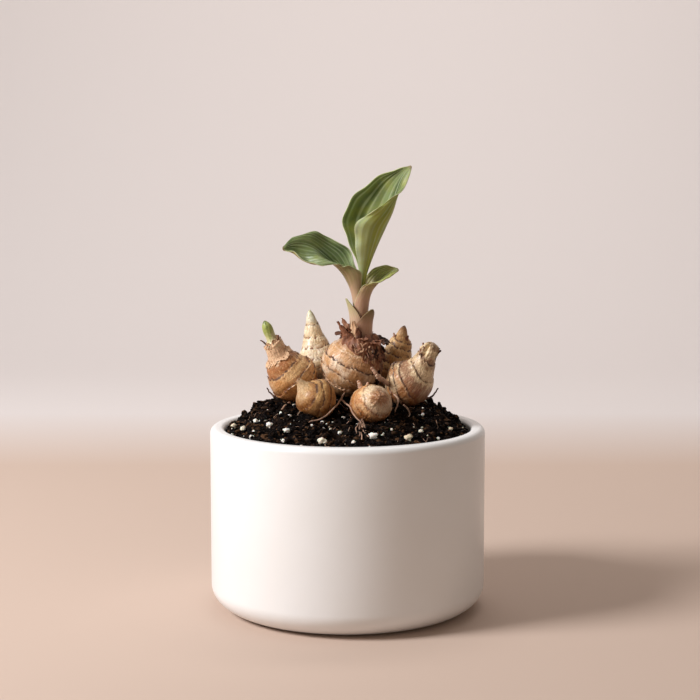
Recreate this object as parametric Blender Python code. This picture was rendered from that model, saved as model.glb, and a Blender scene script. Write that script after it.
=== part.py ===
# Kencur rhizomes sprouting in a round white pot.
#
# Seven tubers sit half sunk in a mound of potting soil. The middle one carries a shoot of three
# leaves, each with its own rolled sheath, wrapped at the foot by two short bracts.
# The origin is the centre of the pot's foot, +Z is up and -Y is the front. All sizes are in metres.

import math
import random

import bmesh
import bpy
from mathutils import Matrix, Vector, noise

# The pot
POT_RADIUS = 0.0600
POT_HEIGHT = 0.0800
POT_WALL = 0.0063
POT_FLOOR = 0.0070
FOOT_ROUND_OUT = 0.0140
FOOT_ROUND_UP = 0.0110
FOOT_RING_WIDTH = 0.0050
FOOT_RECESS = 0.0015
LIP_ROUND_OUTSIDE = 0.0028
LIP_ROUND_INSIDE = 0.0020
FLOOR_FILLET = 0.0070
POT_SIDES = 48

# The soil
GAP = 0.0003
SOIL_EDGE_HEIGHT = 0.0770
MOUND_HEIGHT = 0.0155
MOUND_CENTRE_Y = 0.0080
MOUND_BANK = 0.40
FRONT_FALL = 6.0
HOLLOW_DEPTH = 0.0036
HOLLOW_WIDTH = 0.0140
HOLLOW_CENTRE = (-0.0020, -0.0260)
CLOD_SIZE = 0.0080
CLOD_RELIEF = 0.0024
SOIL_RINGS = 12
HOLE_CLEARANCE = 0.0004
GRAINS = 24
GRAIN_SIZES = (0.0010, 0.0019)
GRAIN_PROUD = 0.3
GRAIN_SPACING = 0.0060
GRAIN_TO_TUBER = 0.0035
GRAIN_TO_WALL = 0.0040
# Where along its axis a tuber is thickest
THICKEST_SHARE = 0.4

# The shoot: an upright stem of rolled sheaths, one inside the other
STEM_X = 0.0054
SOCKET_RADIUS = 0.0059
SOCKET_FLOOR = 0.1170
SOCKET_SIDES = 24
BLADE_THICKNESS = 0.0006
ROLL_BRACT_LEFT = 0.0043
ROLL_BRACT_RIGHT = 0.0052
# How far along a leaf's midrib, each way, its direction is taken
MIDRIB_STEP = 0.01

# The leaf scars that ring each tuber: how proud a scar's edge stands, and how far along the axis the
# rows of points just below and just above it lie, as shares of the axis.
RING_STEP = 0.00045
ROW_BELOW_RING = 0.010
ROW_ABOVE_RING = 0.012

# Each tuber: the axis from its buried end through a control point to its bud, the radius at shares
# of that axis, and the shares where a leaf scar rings it.
TUBERS = {
    "rhizome_mother": {
        "axis": ((-0.0050, 0.0040, 0.0935), (0.0026, 0.0006, 0.1060), (0.0062, -0.0002, 0.1195)),
        "radii": ((0, 0.0050), (0.12, 0.0072), (0.26, 0.0108), (0.42, 0.0126), (0.58, 0.0124),
                  (0.74, 0.0106), (0.88, 0.0082), (1, 0.0066)),
        "rings": (0.22, 0.38, 0.54, 0.76),
        "ends": (0.10, 0.05),
        "sides": 20,
    },
    "rhizome_left_large": {
        "axis": ((-0.0160, 0.0045, 0.0945), (-0.0266, -0.0010, 0.0992), (-0.0360, -0.0030, 0.1262)),
        "radii": ((0, 0.0050), (0.12, 0.0078), (0.26, 0.0100), (0.42, 0.0104), (0.58, 0.0078),
                  (0.70, 0.0047), (0.80, 0.0036), (0.84, 0.0023), (0.94, 0.0020), (1, 0.0012)),
        "rings": (0.14, 0.30, 0.44, 0.60, 0.81),
        "ends": (0.10, 0.05),
        "sides": 20,
    },
    "rhizome_right_large": {
        "axis": ((0.0175, 0.0010, 0.0965), (0.0285, -0.0050, 0.0945), (0.0366, -0.0085, 0.1172)),
        "radii": ((0, 0.0046), (0.12, 0.0076), (0.28, 0.0100), (0.44, 0.0104), (0.60, 0.0086),
                  (0.74, 0.0056), (0.84, 0.0044), (0.93, 0.0036), (1, 0.0030)),
        "rings": (0.16, 0.30, 0.46, 0.68, 0.86),
        "ends": (0.10, 0.06),
        "sides": 20,
    },
    "rhizome_front_left": {
        "axis": ((-0.0066, -0.0138, 0.0915), (-0.0152, -0.0190, 0.0932), (-0.0212, -0.0222, 0.1034)),
        "radii": ((0, 0.0042), (0.14, 0.0066), (0.32, 0.0082), (0.50, 0.0083), (0.66, 0.0066),
                  (0.78, 0.0036), (0.88, 0.0019), (1, 0.0009)),
        "rings": (0.22, 0.42, 0.60),
        "ends": (0.12, 0.06),
        "sides": 18,
    },
    "rhizome_front_right": {
        "axis": ((0.0080, -0.0150, 0.0908), (0.0098, -0.0238, 0.0914), (0.0136, -0.0336, 0.0975)),
        "radii": ((0, 0.0048), (0.12, 0.0068), (0.28, 0.0082), (0.46, 0.0084), (0.64, 0.0077),
                  (0.78, 0.0058), (0.90, 0.0032), (1, 0.0014)),
        "rings": (0.24, 0.44, 0.64),
        "ends": (0.12, 0.10),
        "sides": 18,
    },
    "rhizome_back_left": {
        "axis": ((-0.0105, 0.0160, 0.0900), (-0.0132, 0.0183, 0.1050), (-0.0170, 0.0185, 0.1290)),
        "radii": ((0, 0.0048), (0.14, 0.0074), (0.30, 0.0087), (0.46, 0.0084), (0.60, 0.0070),
                  (0.74, 0.0050), (0.86, 0.0032), (0.94, 0.0018), (1, 0.0008)),
        "rings": (0.22, 0.36, 0.50, 0.64, 0.79),
        "ends": (0.10, 0.05),
        "sides": 18,
    },
    "rhizome_back_right": {
        "axis": ((0.0190, 0.0160, 0.0895), (0.0212, 0.0180, 0.1060), (0.0254, 0.0180, 0.1220)),
        "radii": ((0, 0.0044), (0.16, 0.0064), (0.34, 0.0074), (0.50, 0.0067), (0.66, 0.0056),
                  (0.79, 0.0044), (0.86, 0.0026), (0.94, 0.0015), (1, 0.0007)),
        "rings": (0.26, 0.42, 0.60, 0.80),
        "ends": (0.10, 0.05),
        "sides": 18,
    },
}

# How far along a root's route, each way, its direction is taken
ROUTE_STEP = 0.02
# Each root or stub: the tuber it grows from, its radius at both ends, and its route.
ROOT_SIDES = 6
ROOT_STEPS = 12
ROOTS = {
    "root_over_soil": ("rhizome_mother", 0.00060, 0.00045,
                       ((-0.0010, -0.0040, 0.0950), (-0.0030, -0.0150, 0.0935),
                        (-0.0052, -0.0235, 0.0915), (-0.0100, -0.0305, 0.0883),
                        (-0.0165, -0.0335, 0.0865))),
    "root_to_front": ("rhizome_front_right", 0.00075, 0.00050,
                      ((0.0070, -0.0230, 0.0868), (0.0058, -0.0310, 0.0868),
                       (0.0054, -0.0370, 0.0840), (0.0060, -0.0425, 0.0806))),
    "root_stub": ("rhizome_right_large", 0.00130, 0.00080,
                  ((0.0190, -0.0085, 0.0985), (0.0152, -0.0122, 0.1015), (0.0122, -0.0136, 0.1046),
                   (0.0100, -0.0138, 0.1072))),
    "hair_root": ("rhizome_right_large", 0.00050, 0.00035,
                  ((0.0290, -0.0020, 0.0930), (0.0352, -0.0015, 0.0922), (0.0380, -0.0010, 0.0940),
                   (0.0396, -0.0010, 0.0965))),
    "side_bud": ("rhizome_front_right", 0.00170, 0.00060,
                 ((0.0075, -0.0200, 0.0965), (0.0056, -0.0195, 0.0996), (0.0046, -0.0192, 0.1024))),
}

# Each leaf: three curves from its foot in the tuber to its tip, in millimetres. The sheath is rolled
# into a tube whose back is the midrib, and opens between the two margins into the blade.
TIP_WIDTH = 2.8
LEAVES = {
    "leaf_tall": {
        "midrib": ((6.85, 0, 117.3), (6.85, 0, 128.0), (7.1, 0, 138.0), (8.0, 0, 145.0), (10.3, 0, 152.0),
                   (13.3, 0, 159.3), (16.5, 0, 166.4), (19.5, 0.3, 173.2), (21.6, 1.2, 180.4),
                   (24.0, 0.6, 187.2), (27.4, -1.0, 192.6)),
        "far_margin": ((4.0, 0.2, 117.3), (4.0, 0.2, 128.0), (4.2, 0.3, 138.0), (5.2, 0.9, 145.0),
                       (3.7, 3.6, 152.4), (-0.2, 7.2, 161.0), (-1.9, 9.4, 170.2), (2.0, 9.0, 178.6),
                       (9.2, 6.8, 185.2), (18.2, 3.4, 190.4), (27.2, -0.4, 192.9)),
        "near_margin": ((4.0, -0.2, 117.3), (4.0, -0.2, 128.0), (4.2, -0.3, 138.0), (5.3, -0.9, 145.0),
                        (4.4, -3.2, 152.2), (3.3, -6.0, 160.4), (3.8, -8.2, 168.4), (10.4, -8.8, 173.2),
                        (18.4, -6.8, 178.6), (25.4, -3.4, 185.4), (27.5, -1.6, 192.3)),
    },
    "leaf_left": {
        "midrib": ((3.0, 0, 117.3), (3.0, 0, 125.0), (2.6, 0, 131.6), (1.7, 0, 137.6), (-0.2, 0, 142.8),
                   (-3.5, 0, 147.8), (-8.8, 0.8, 152.4), (-14.4, 1.4, 156.4), (-19.8, 1.2, 158.2),
                   (-24.4, 0.2, 158.4), (-28.1, -1.2, 157.0)),
        "far_margin": ((7.8, 0.3, 117.3), (7.8, 0.3, 125.0), (7.0, 1.7, 131.6), (5.8, 2.2, 137.6),
                       (4.8, 2.9, 143.6), (3.4, 4.0, 149.6), (-0.2, 5.4, 157.2), (-7.6, 5.8, 161.4),
                       (-14.8, 5.0, 164.2), (-22.9, 2.6, 161.7), (-27.9, -0.5, 158.0)),
        "near_margin": ((7.8, -0.3, 117.3), (7.8, -0.3, 125.0), (7.0, -1.7, 131.6), (5.9, -2.3, 137.6),
                        (6.0, -3.0, 143.6), (5.0, -3.7, 148.0), (-1.8, -6.0, 150.5), (-8.4, -6.9, 150.7),
                        (-15.9, -6.1, 151.2), (-22.3, -3.8, 155.4), (-27.6, -2.1, 156.5)),
    },
    "leaf_right": {
        "midrib": ((8.75, 0, 117.3), (8.75, 0, 126.0), (9.1, 0, 132.6), (10.3, 0, 138.0), (12.6, 0.2, 141.6),
                   (15.8, 0.4, 144.4), (19.0, 0.2, 146.6), (22.1, -0.6, 148.2)),
        "far_margin": ((2.05, 0.4, 117.3), (2.05, 0.4, 126.0), (2.9, 2.7, 132.6), (4.7, 3.8, 138.0),
                       (7.2, 4.4, 143.6), (11.2, 4.2, 148.2), (16.6, 2.6, 149.8), (21.8, -0.2, 148.7)),
        "near_margin": ((2.05, -0.4, 117.3), (2.05, -0.4, 126.0), (2.8, -2.7, 132.6), (4.6, -3.8, 138.0),
                        (6.9, -4.4, 141.5), (13.6, -4.4, 143.0), (17.8, -3.0, 144.9), (21.7, -1.5, 147.5)),
    },
}

# How many cells each blade has across and along.
CELLS = {
    "leaf_tall": (10, 20), "leaf_left": (10, 20), "leaf_right": (12, 14),
    "bract_left": (8, 6), "bract_right": (8, 6), "scale": (3, 4),
}

# Each bract: the radius of its roll, the direction of its midrib round the stem, and for stations
# from foot to tip its height, how far out it leans and its half angle. Millimetres and degrees.
BRACTS = {
    "bract_left": (ROLL_BRACT_LEFT, 196, ((0, 117.3, 0, 100), (0.35, 123.5, 0, 92), (0.65, 129.0, 0.3, 66),
                                          (0.86, 133.0, 1.2, 34), (1, 135.7, 2.0, 7))),
    "bract_right": (ROLL_BRACT_RIGHT, -42, ((0, 117.3, 0, 92), (0.35, 121.6, 0, 84), (0.65, 125.8, 0.3, 58),
                                            (0.86, 129.0, 1.0, 30), (1, 131.2, 1.8, 6))),
}

# Each dried scale on the middle tuber's neck: its direction round the stem, how far from the stem its
# foot is, its length and width, and how far its foot and its tip lean out. Millimetres and degrees.
HUSK_SCALES = (
    (178, 6.9, 8.2, 3.2, 5, 20), (203, 7.3, 7.0, 3.4, 10, 60), (228, 7.0, 8.6, 3.6, 0, 24),
    (256, 7.0, 9.8, 5.0, 0, 8), (284, 7.2, 7.0, 5.0, 20, 120), (308, 7.0, 8.0, 4.6, 40, 135),
    (332, 7.4, 7.6, 5.0, 25, 125), (356, 7.4, 9.0, 5.2, 35, 140), (22, 7.4, 7.6, 5.0, 20, 110),
    (50, 7.2, 8.4, 4.8, 30, 130), (82, 7.2, 7.6, 4.8, 10, 90), (114, 7.0, 7.8, 4.6, 20, 110),
    (146, 7.0, 7.6, 4.2, 5, 40),
)
HUSK_THICKNESS = 0.0008
HUSK_SUNK = 0.0020

COLOURS = {
    "ceramic": ((0.86, 0.85, 0.83, 1), 0.38),
    "soil": ((0.035, 0.026, 0.021, 1), 0.95),
    "rhizome_skin": ((0.56, 0.33, 0.14, 1), 0.62),
    "leaf": ((0.12, 0.21, 0.075, 1), 0.45),
    "sheath": ((0.50, 0.33, 0.21, 1), 0.5),
}
# Edges that bend more than this, in degrees, are drawn sharp
SHARP_ANGLE = 40


def clear_scene():
    for obj in list(bpy.data.objects):
        bpy.data.objects.remove(obj, do_unlink=True)


def material(name):
    """The Principled material of this name, made once."""
    found = bpy.data.materials.get(name)
    if found:
        return found
    colour, roughness = COLOURS[name]
    made = bpy.data.materials.new(name)
    made.use_nodes = True
    shader = made.node_tree.nodes["Principled BSDF"]
    shader.inputs["Base Color"].default_value = colour
    shader.inputs["Roughness"].default_value = roughness
    shader.inputs["Metallic"].default_value = 0.0
    return made


def new_object(name, bm, finish=None):
    """An object holding the bmesh: flat triangles, so that cuts are clean, with normals outward."""
    bmesh.ops.triangulate(bm, faces=bm.faces)
    bmesh.ops.recalc_face_normals(bm, faces=bm.faces)
    mesh = bpy.data.meshes.new(name)
    bm.to_mesh(mesh)
    bm.free()
    mesh.shade_smooth()
    mesh.set_sharp_from_angle(angle=math.radians(SHARP_ANGLE))
    if finish:
        mesh.materials.append(material(finish))
    obj = bpy.data.objects.new(name, mesh)
    bpy.context.scene.collection.objects.link(obj)
    return obj


def boolean(obj, cutter, operation):
    """Cuts or joins cutter with obj, applies the result and removes the cutter."""
    modifier = obj.modifiers.new(operation.lower(), "BOOLEAN")
    modifier.operation = operation
    modifier.solver = "EXACT"
    modifier.object = cutter
    bpy.context.view_layer.update()
    graph = bpy.context.evaluated_depsgraph_get()
    result = bpy.data.meshes.new_from_object(obj.evaluated_get(graph))
    obj.modifiers.clear()
    obj.data = result
    bpy.data.objects.remove(cutter, do_unlink=True)


def smooth_between(stations, share):
    """The values at this share along the stations, on a curve through them."""
    last = len(stations) - 1
    index = max(i for i, station in enumerate(stations) if station[0] <= share or i == 0)
    index = min(index, last - 1)
    before, low, high, after = (stations[min(max(index + k, 0), last)] for k in (-1, 0, 1, 2))
    span = high[0] - low[0]
    part = min(max((share - low[0]) / span, 0), 1)
    values = []
    for k in range(1, len(low)):
        start = (high[k] - before[k]) / max(high[0] - before[0], 1e-9) * span
        end = (after[k] - low[k]) / max(after[0] - low[0], 1e-9) * span
        values.append((2 * part**3 - 3 * part**2 + 1) * low[k] + (part**3 - 2 * part**2 + part) * start
                      + (3 * part**2 - 2 * part**3) * high[k] + (part**3 - part**2) * end)
    return values


def arc(centre, radii, start, end, steps):
    """Points of an elliptic arc, with angles in degrees."""
    turns = (math.radians(start + (end - start) * i / steps) for i in range(steps + 1))
    return [(centre[0] + radii[0] * math.cos(a), centre[1] + radii[1] * math.sin(a)) for a in turns]


def lathe(outline, sides):
    """A bmesh turned round Z from an outline of (radius, height) points that starts and ends on the axis."""
    bm = bmesh.new()
    row = [bm.verts.new((radius, 0, height)) for radius, height in outline]
    edges = [bm.edges.new(pair) for pair in zip(row, row[1:])]
    bmesh.ops.spin(bm, geom=row + edges, axis=(0, 0, 1), cent=(0, 0, 0), steps=sides,
                   angle=2 * math.pi, use_merge=True)
    bmesh.ops.remove_doubles(bm, verts=bm.verts, dist=1e-6)
    return bm


def pot():
    """The pot, with a rounded foot, a shallow recess under it and a rounded lip."""
    inner = POT_RADIUS - POT_WALL
    flat = POT_RADIUS - FOOT_ROUND_OUT
    recess = flat - FOOT_RING_WIDTH
    outline = [(0, FOOT_RECESS), (recess - FOOT_RECESS, FOOT_RECESS), (recess, 0)]
    outline += arc((flat, FOOT_ROUND_UP), (FOOT_ROUND_OUT, FOOT_ROUND_UP), -90, 0, 5)
    lip = LIP_ROUND_OUTSIDE
    outline += arc((POT_RADIUS - lip, POT_HEIGHT - lip), (lip, lip), 0, 90, 3)
    lip = LIP_ROUND_INSIDE
    outline += arc((inner + lip, POT_HEIGHT - lip), (lip, lip), 90, 180, 3)
    fillet = FLOOR_FILLET
    outline += arc((inner - fillet, POT_FLOOR + fillet), (fillet, fillet), 0, -90, 2)
    outline += [(0, POT_FLOOR)]
    return new_object("pot", lathe(outline, POT_SIDES), "ceramic")


def soil_height(x, y):
    """The height of the soil's mound: flat on top, banked to the wall, lower and hollowed in front."""
    wall = POT_RADIUS - POT_WALL
    out = Vector((x, y - MOUND_CENTRE_Y))
    across = out.normalized().y * MOUND_CENTRE_Y
    reach = -across + math.sqrt(across**2 + wall**2 - MOUND_CENTRE_Y**2)
    inside = max(1 - out.length / reach, 0)
    bank = inside / MOUND_BANK
    rise = MOUND_HEIGHT * bank / (1 + bank**4) ** 0.25 * (1 + FRONT_FALL * min(y, 0))
    hollow = (x - HOLLOW_CENTRE[0]) ** 2 + (y - HOLLOW_CENTRE[1]) ** 2
    rise -= HOLLOW_DEPTH * math.exp(-hollow / (2 * HOLLOW_WIDTH**2))
    spot = Vector((x, y, 0.0025)) / CLOD_SIZE
    clods = noise.noise(spot) + 0.5 * noise.noise(spot * 2.1)
    return SOIL_EDGE_HEIGHT + rise + CLOD_RELIEF * clods * min(1, 8 * inside)


def soil():
    """The soil, filling the pot and mounded over it, with grains of perlite standing out of it."""
    edge = POT_RADIUS - POT_WALL - GAP
    floor = POT_FLOOR + GAP
    outline = [(edge * ring / SOIL_RINGS, SOIL_EDGE_HEIGHT) for ring in range(SOIL_RINGS + 1)]
    fillet = FLOOR_FILLET
    outline += [(edge, SOIL_EDGE_HEIGHT / 2)]
    outline += arc((edge - fillet, floor + fillet), (fillet, fillet), 0, -90, 2)
    outline += [(0, floor)]
    bm = lathe(outline, POT_SIDES)
    for vert in bm.verts:
        if vert.co.z > SOIL_EDGE_HEIGHT - 1e-6:
            vert.co.z = soil_height(vert.co.x, vert.co.y)
    return new_object("soil", bm, "soil")


def perlite(solid, keep_clear):
    """Joins grains to the soil, at seeded places clear of each other, the wall, the tubers and the roots."""
    draw = random.Random(7)
    reach = POT_RADIUS - POT_WALL - GRAIN_TO_WALL
    placed = []
    while len(placed) < GRAINS:
        angle = draw.uniform(0, 2 * math.pi)
        distance = reach * math.sqrt(draw.random())
        size = draw.uniform(*GRAIN_SIZES)
        spot = Vector((distance * math.cos(angle), distance * math.sin(angle), 0))
        spot.z = soil_height(spot.x, spot.y) + GRAIN_PROUD * size
        near = any((spot - other).length < GRAIN_SPACING for other in placed)
        near = near or any((spot - centre).length < radius + GRAIN_TO_TUBER for centre, radius in keep_clear)
        if near:
            continue
        placed.append(spot)
        bm = bmesh.new()
        bmesh.ops.create_icosphere(bm, subdivisions=1, radius=size,
                                   matrix=Matrix.Translation(spot) @ Matrix.Rotation(angle, 4, "X"))
        boolean(solid, new_object("grain", bm, "soil"), "UNION")


def tuber_rows(shape):
    """The shares of the axis where the tuber has a row of points: both sides of each ring and between.

    Two more rows round each end.
    """
    low_end, high_end = shape["ends"]
    rings = (low_end / 2, *shape["rings"], 1 - high_end / 2)
    rows = [low_end / 8]
    for low, high in zip(rings, rings[1:]):
        rows += [low + ROW_ABOVE_RING, (low + high) / 2, high - ROW_BELOW_RING]
    return [*rows, 1 - high_end / 8]


def tuber_axis(shape, share):
    """(point, direction) of the tuber's axis, a curve bent by one control point."""
    start, bend, end = (Vector(p) for p in shape["axis"])
    point = (1 - share) ** 2 * start + 2 * share * (1 - share) * bend + share**2 * end
    direction = 2 * (1 - share) * (bend - start) + 2 * share * (end - bend)
    return point, direction.normalized()


def tuber_radius(shape, share):
    """The radius there: rounded ends, and a small step at each leaf scar, whose edge faces the bud."""
    radius = smooth_between(shape["radii"], share)[0]
    low_end, high_end = shape["ends"]
    for end, distance in ((low_end, share), (high_end, 1 - share)):
        if distance < end:
            radius *= math.sqrt(max(1 - (1 - distance / end) ** 2, 0))
    rings = (0, *shape["rings"], 1)
    for low, high in zip(rings, rings[1:]):
        if low <= share < high and high < 1:
            radius += RING_STEP * ((share - low) / (high - low)) ** 2
    return radius


def tuber(name, clearance=0.0):
    """A tuber swept along its axis, thicker all over by the clearance."""
    shape = TUBERS[name]
    rows = tuber_rows(shape)
    start, bend, end = (Vector(p) for p in shape["axis"])
    side = (bend - start).cross(end - bend).normalized()
    bm = bmesh.new()
    bmesh.ops.create_uvsphere(bm, u_segments=shape["sides"], v_segments=len(rows) + 1, radius=1)
    for vert in bm.verts:
        row = round((1 - math.acos(max(-1, min(1, vert.co.z))) / math.pi) * (len(rows) + 1)) - 1
        share = 0 if row < 0 else 1 if row >= len(rows) else rows[row]
        turn = math.atan2(vert.co.y, vert.co.x)
        centre, direction = tuber_axis(shape, share)
        pole = row < 0 or row >= len(rows)
        radius = 0 if pole else tuber_radius(shape, share) + clearance
        across = direction.cross(side)
        vert.co = centre + radius * (math.cos(turn) * side + math.sin(turn) * across)
        if pole:
            vert.co += direction * clearance * (1 if share else -1)
    return new_object(name if not clearance else name + "_hole", bm, "rhizome_skin")


def curve_through(points, share):
    """A point on the smooth curve through the given points."""
    stations = [(i / (len(points) - 1), *point) for i, point in enumerate(points)]
    return Vector(smooth_between(stations, share))


def root(name, clearance=0.0):
    """A root or stub as a tapering tube along its route, with a pointed end."""
    _, thick, thin, points = ROOTS[name]
    bm = bmesh.new()
    bmesh.ops.create_uvsphere(bm, u_segments=ROOT_SIDES, v_segments=ROOT_STEPS, radius=1)
    for vert in bm.verts:
        share = 1 - math.acos(max(-1, min(1, vert.co.z))) / math.pi
        turn = math.atan2(vert.co.y, vert.co.x)
        centre = curve_through(points, share)
        before = curve_through(points, max(share - ROUTE_STEP, 0))
        after = curve_through(points, min(share + ROUTE_STEP, 1))
        ahead = (after - before).normalized()
        side = ahead.cross(Vector((0, 0, 1))).normalized()
        pole = abs(share - 0.5) > 0.4999
        radius = 0 if pole else thick + (thin - thick) * share + clearance
        vert.co = centre + radius * (math.cos(turn) * side + math.sin(turn) * ahead.cross(side))
        if pole:
            vert.co += ahead * clearance * math.copysign(1, share - 0.5)
    return new_object(name, bm, "rhizome_skin")


def leaf_point(curves, across, along):
    """A leaf's middle surface: across runs from -1 at the far margin to 1 at the near one.

    Each half of a section is an arc that leaves the midrib square to the leaf's plane of symmetry,
    and that flattens where the leaf narrows to its tip.
    """
    rib, far, near = (curve_through(curves[line], along) for line in ("midrib", "far_margin", "near_margin"))
    ahead = curve_through(curves["midrib"], min(along + MIDRIB_STEP, 1))
    behind = curve_through(curves["midrib"], max(along - MIDRIB_STEP, 0))
    inward = (far + near) / 2 - rib
    aside = (ahead - behind).cross(inward).normalized()
    aside *= math.copysign(1, (near - far).dot(aside) * across)
    chord = (near if across > 0 else far) - rib
    bend = chord.angle(aside)
    square = (chord - aside * chord.dot(aside)).normalized()
    curl = bend * min(1, chord.length / TIP_WIDTH)
    turn = bend - curl * (1 - abs(across))
    reach = chord.length * math.sin(curl * abs(across)) / math.sin(curl)
    return (rib + reach * (math.cos(turn) * aside + math.sin(turn) * square)) / 1000


def blade(name, surface, cells, finish, thickness=BLADE_THICKNESS):
    """A closed blade of even thickness from surface(across, along), with both faces split alike."""
    bm = bmesh.new()
    bmesh.ops.create_grid(bm, x_segments=cells[0], y_segments=cells[1], size=1)
    for vert in bm.verts:
        vert.co = surface(vert.co.x, (vert.co.y + 1) / 2)
    bmesh.ops.triangulate(bm, faces=bm.faces)
    bmesh.ops.recalc_face_normals(bm, faces=bm.faces)
    bm.normal_update()
    for vert in bm.verts:
        vert.co -= vert.normal * thickness / 2
    bmesh.ops.solidify(bm, geom=bm.faces[:], thickness=-thickness)
    return new_object(name, bm, finish)


def leaf(name):
    """A leaf with its rolled sheath."""
    return blade(name, lambda across, along: leaf_point(LEAVES[name], across, along), CELLS[name], "leaf")


def bract(name):
    """A short pointed bract wrapped round the stem."""
    radius, facing, stations = BRACTS[name]

    def surface(across, along):
        height, lean, spread = smooth_between(stations, along)
        turn = math.radians(facing + spread * across)
        out = radius + lean / 1000
        return Vector((STEM_X + out * math.cos(turn), out * math.sin(turn), height / 1000))

    return blade(name, surface, CELLS[name], "sheath")


def husk_scale(number, facing, distance, length, width, lean, droop):
    """One dried pointed scale, curling from its foot in the middle tuber's neck to its tip."""
    way = Vector((math.cos(math.radians(facing)), math.sin(math.radians(facing)), 0))
    aside = Vector((-way.y, way.x, 0))
    top, axis_way = tuber_axis(TUBERS["rhizome_mother"], 1)
    foot = Vector((STEM_X, 0, top.z)) + way * distance / 1000
    foot.z -= (foot - top).dot(axis_way) / axis_way.z + 0.5 * (distance - 6.0) / 1000 + HUSK_SUNK
    lean, droop = math.radians(lean), math.radians(droop)

    def surface(across, along):
        turn = lean + (droop - lean) * along
        arm = length / (droop - lean)
        out = arm * (math.cos(lean) - math.cos(turn))
        rise = arm * (math.sin(turn) - math.sin(lean))
        taper = (1 - along**1.7) ** 0.8 * 0.85 + 0.15
        cup = 0.22 * width * across**2 * taper**2
        out -= cup * math.cos(turn)
        rise += cup * math.sin(turn)
        return foot + (way * out + Vector((0, 0, rise)) + aside * across * width * taper / 2) / 1000

    return blade(f"scale_{number}", surface, CELLS["scale"], "rhizome_skin", HUSK_THICKNESS)


def rhizomes():
    """The seven tubers with their roots, each by its name."""
    tubers = {name: tuber(name) for name in TUBERS}
    for name, (owner, *_) in ROOTS.items():
        boolean(tubers[owner], root(name), "UNION")
    return tubers


def crown(mother):
    """Joins the dried scales to the middle tuber and cuts the socket that the shoot grows from."""
    for number, scale in enumerate(HUSK_SCALES):
        boolean(mother, husk_scale(number, *scale), "UNION")
    top = POT_HEIGHT * 2
    outline = [(0, SOCKET_FLOOR), (SOCKET_RADIUS, SOCKET_FLOOR), (SOCKET_RADIUS, top), (0, top)]
    socket = lathe(outline, SOCKET_SIDES)
    bmesh.ops.translate(socket, verts=socket.verts, vec=(STEM_X, 0, 0))
    boolean(mother, new_object("socket", socket), "DIFFERENCE")


def bed():
    """The soil with its grains, and with a hole for each tuber and root."""
    ground = soil()
    clear = [(tuber_axis(shape, THICKEST_SHARE)[0], max(r for _, r in shape["radii"]))
             for shape in TUBERS.values()]
    clear += [(Vector(point), thick) for _, thick, _, route in ROOTS.values() for point in route]
    perlite(ground, clear)
    for name in TUBERS:
        boolean(ground, tuber(name, HOLE_CLEARANCE), "DIFFERENCE")
    for name in ROOTS:
        boolean(ground, root(name, HOLE_CLEARANCE), "DIFFERENCE")


def main():
    clear_scene()
    pot()
    bed()
    tubers = rhizomes()
    crown(tubers["rhizome_mother"])
    for name in LEAVES:
        leaf(name)
    for name in BRACTS:
        bract(name)


main()
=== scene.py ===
import math
import random

import bmesh
import bpy
from mathutils import Matrix, Vector, noise


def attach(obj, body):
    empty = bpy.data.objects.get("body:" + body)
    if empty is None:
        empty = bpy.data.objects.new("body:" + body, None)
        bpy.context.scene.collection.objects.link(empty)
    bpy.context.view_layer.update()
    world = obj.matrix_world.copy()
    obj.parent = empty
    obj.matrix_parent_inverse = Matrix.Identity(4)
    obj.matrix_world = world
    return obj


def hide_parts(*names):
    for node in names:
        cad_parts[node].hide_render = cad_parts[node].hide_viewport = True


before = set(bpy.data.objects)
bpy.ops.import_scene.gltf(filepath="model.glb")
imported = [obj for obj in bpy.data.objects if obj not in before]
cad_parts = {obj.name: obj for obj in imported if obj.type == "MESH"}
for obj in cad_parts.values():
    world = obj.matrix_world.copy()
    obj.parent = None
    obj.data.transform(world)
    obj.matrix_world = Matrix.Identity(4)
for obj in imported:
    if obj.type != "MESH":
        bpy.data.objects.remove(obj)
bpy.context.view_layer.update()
noise.seed_set(1)  # noise vectors are offset by it, and differ from run to run without it
mm = 0.001
print("frame loaded")


def srgb(text):  # an sRGB hex colour, as the linear values that a shader takes
    values = [int(text[i:i + 2], 16) / 255 for i in (0, 2, 4)]
    return [v / 12.92 if v <= 0.04045 else ((v + 0.055) / 1.055) ** 2.4 for v in values] + [1]


def addNode(tree, kind, links=None, **settings):  # a node, what feeds its sockets, and its settings
    node = tree.nodes.new("ShaderNode" + kind)
    for key, value in settings.items():
        setattr(node, key, value)
    for socket, source in (links or {}).items():
        if isinstance(source, bpy.types.NodeSocket):
            tree.links.new(source, node.inputs[socket])
        else:
            node.inputs[socket].default_value = source
    return node


def newMaterial(name, sockets):  # a Principled material with fixed values on the shader's own sockets
    made = bpy.data.materials.new(name)
    made.use_nodes = True
    shader = made.node_tree.nodes["Principled BSDF"]
    for socket, value in sockets.items():
        shader.inputs[socket].default_value = value
    return made, made.node_tree, shader


def finishPiece(name, bm, materials, replaces=(), sharp=50):  # the mesh as a piece on the frame
    mesh = bpy.data.meshes.new(name)
    bm.to_mesh(mesh)
    bm.free()
    mesh.shade_smooth()
    mesh.set_sharp_from_angle(angle=math.radians(sharp))
    for material in materials:
        mesh.materials.append(material)
    piece = bpy.data.objects.new(name, mesh)
    bpy.context.scene.collection.objects.link(piece)
    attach(piece, "root")
    if replaces:
        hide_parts(*replaces)
    print(name, sum(len(face.vertices) - 2 for face in mesh.polygons), "triangles")
    return piece


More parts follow.
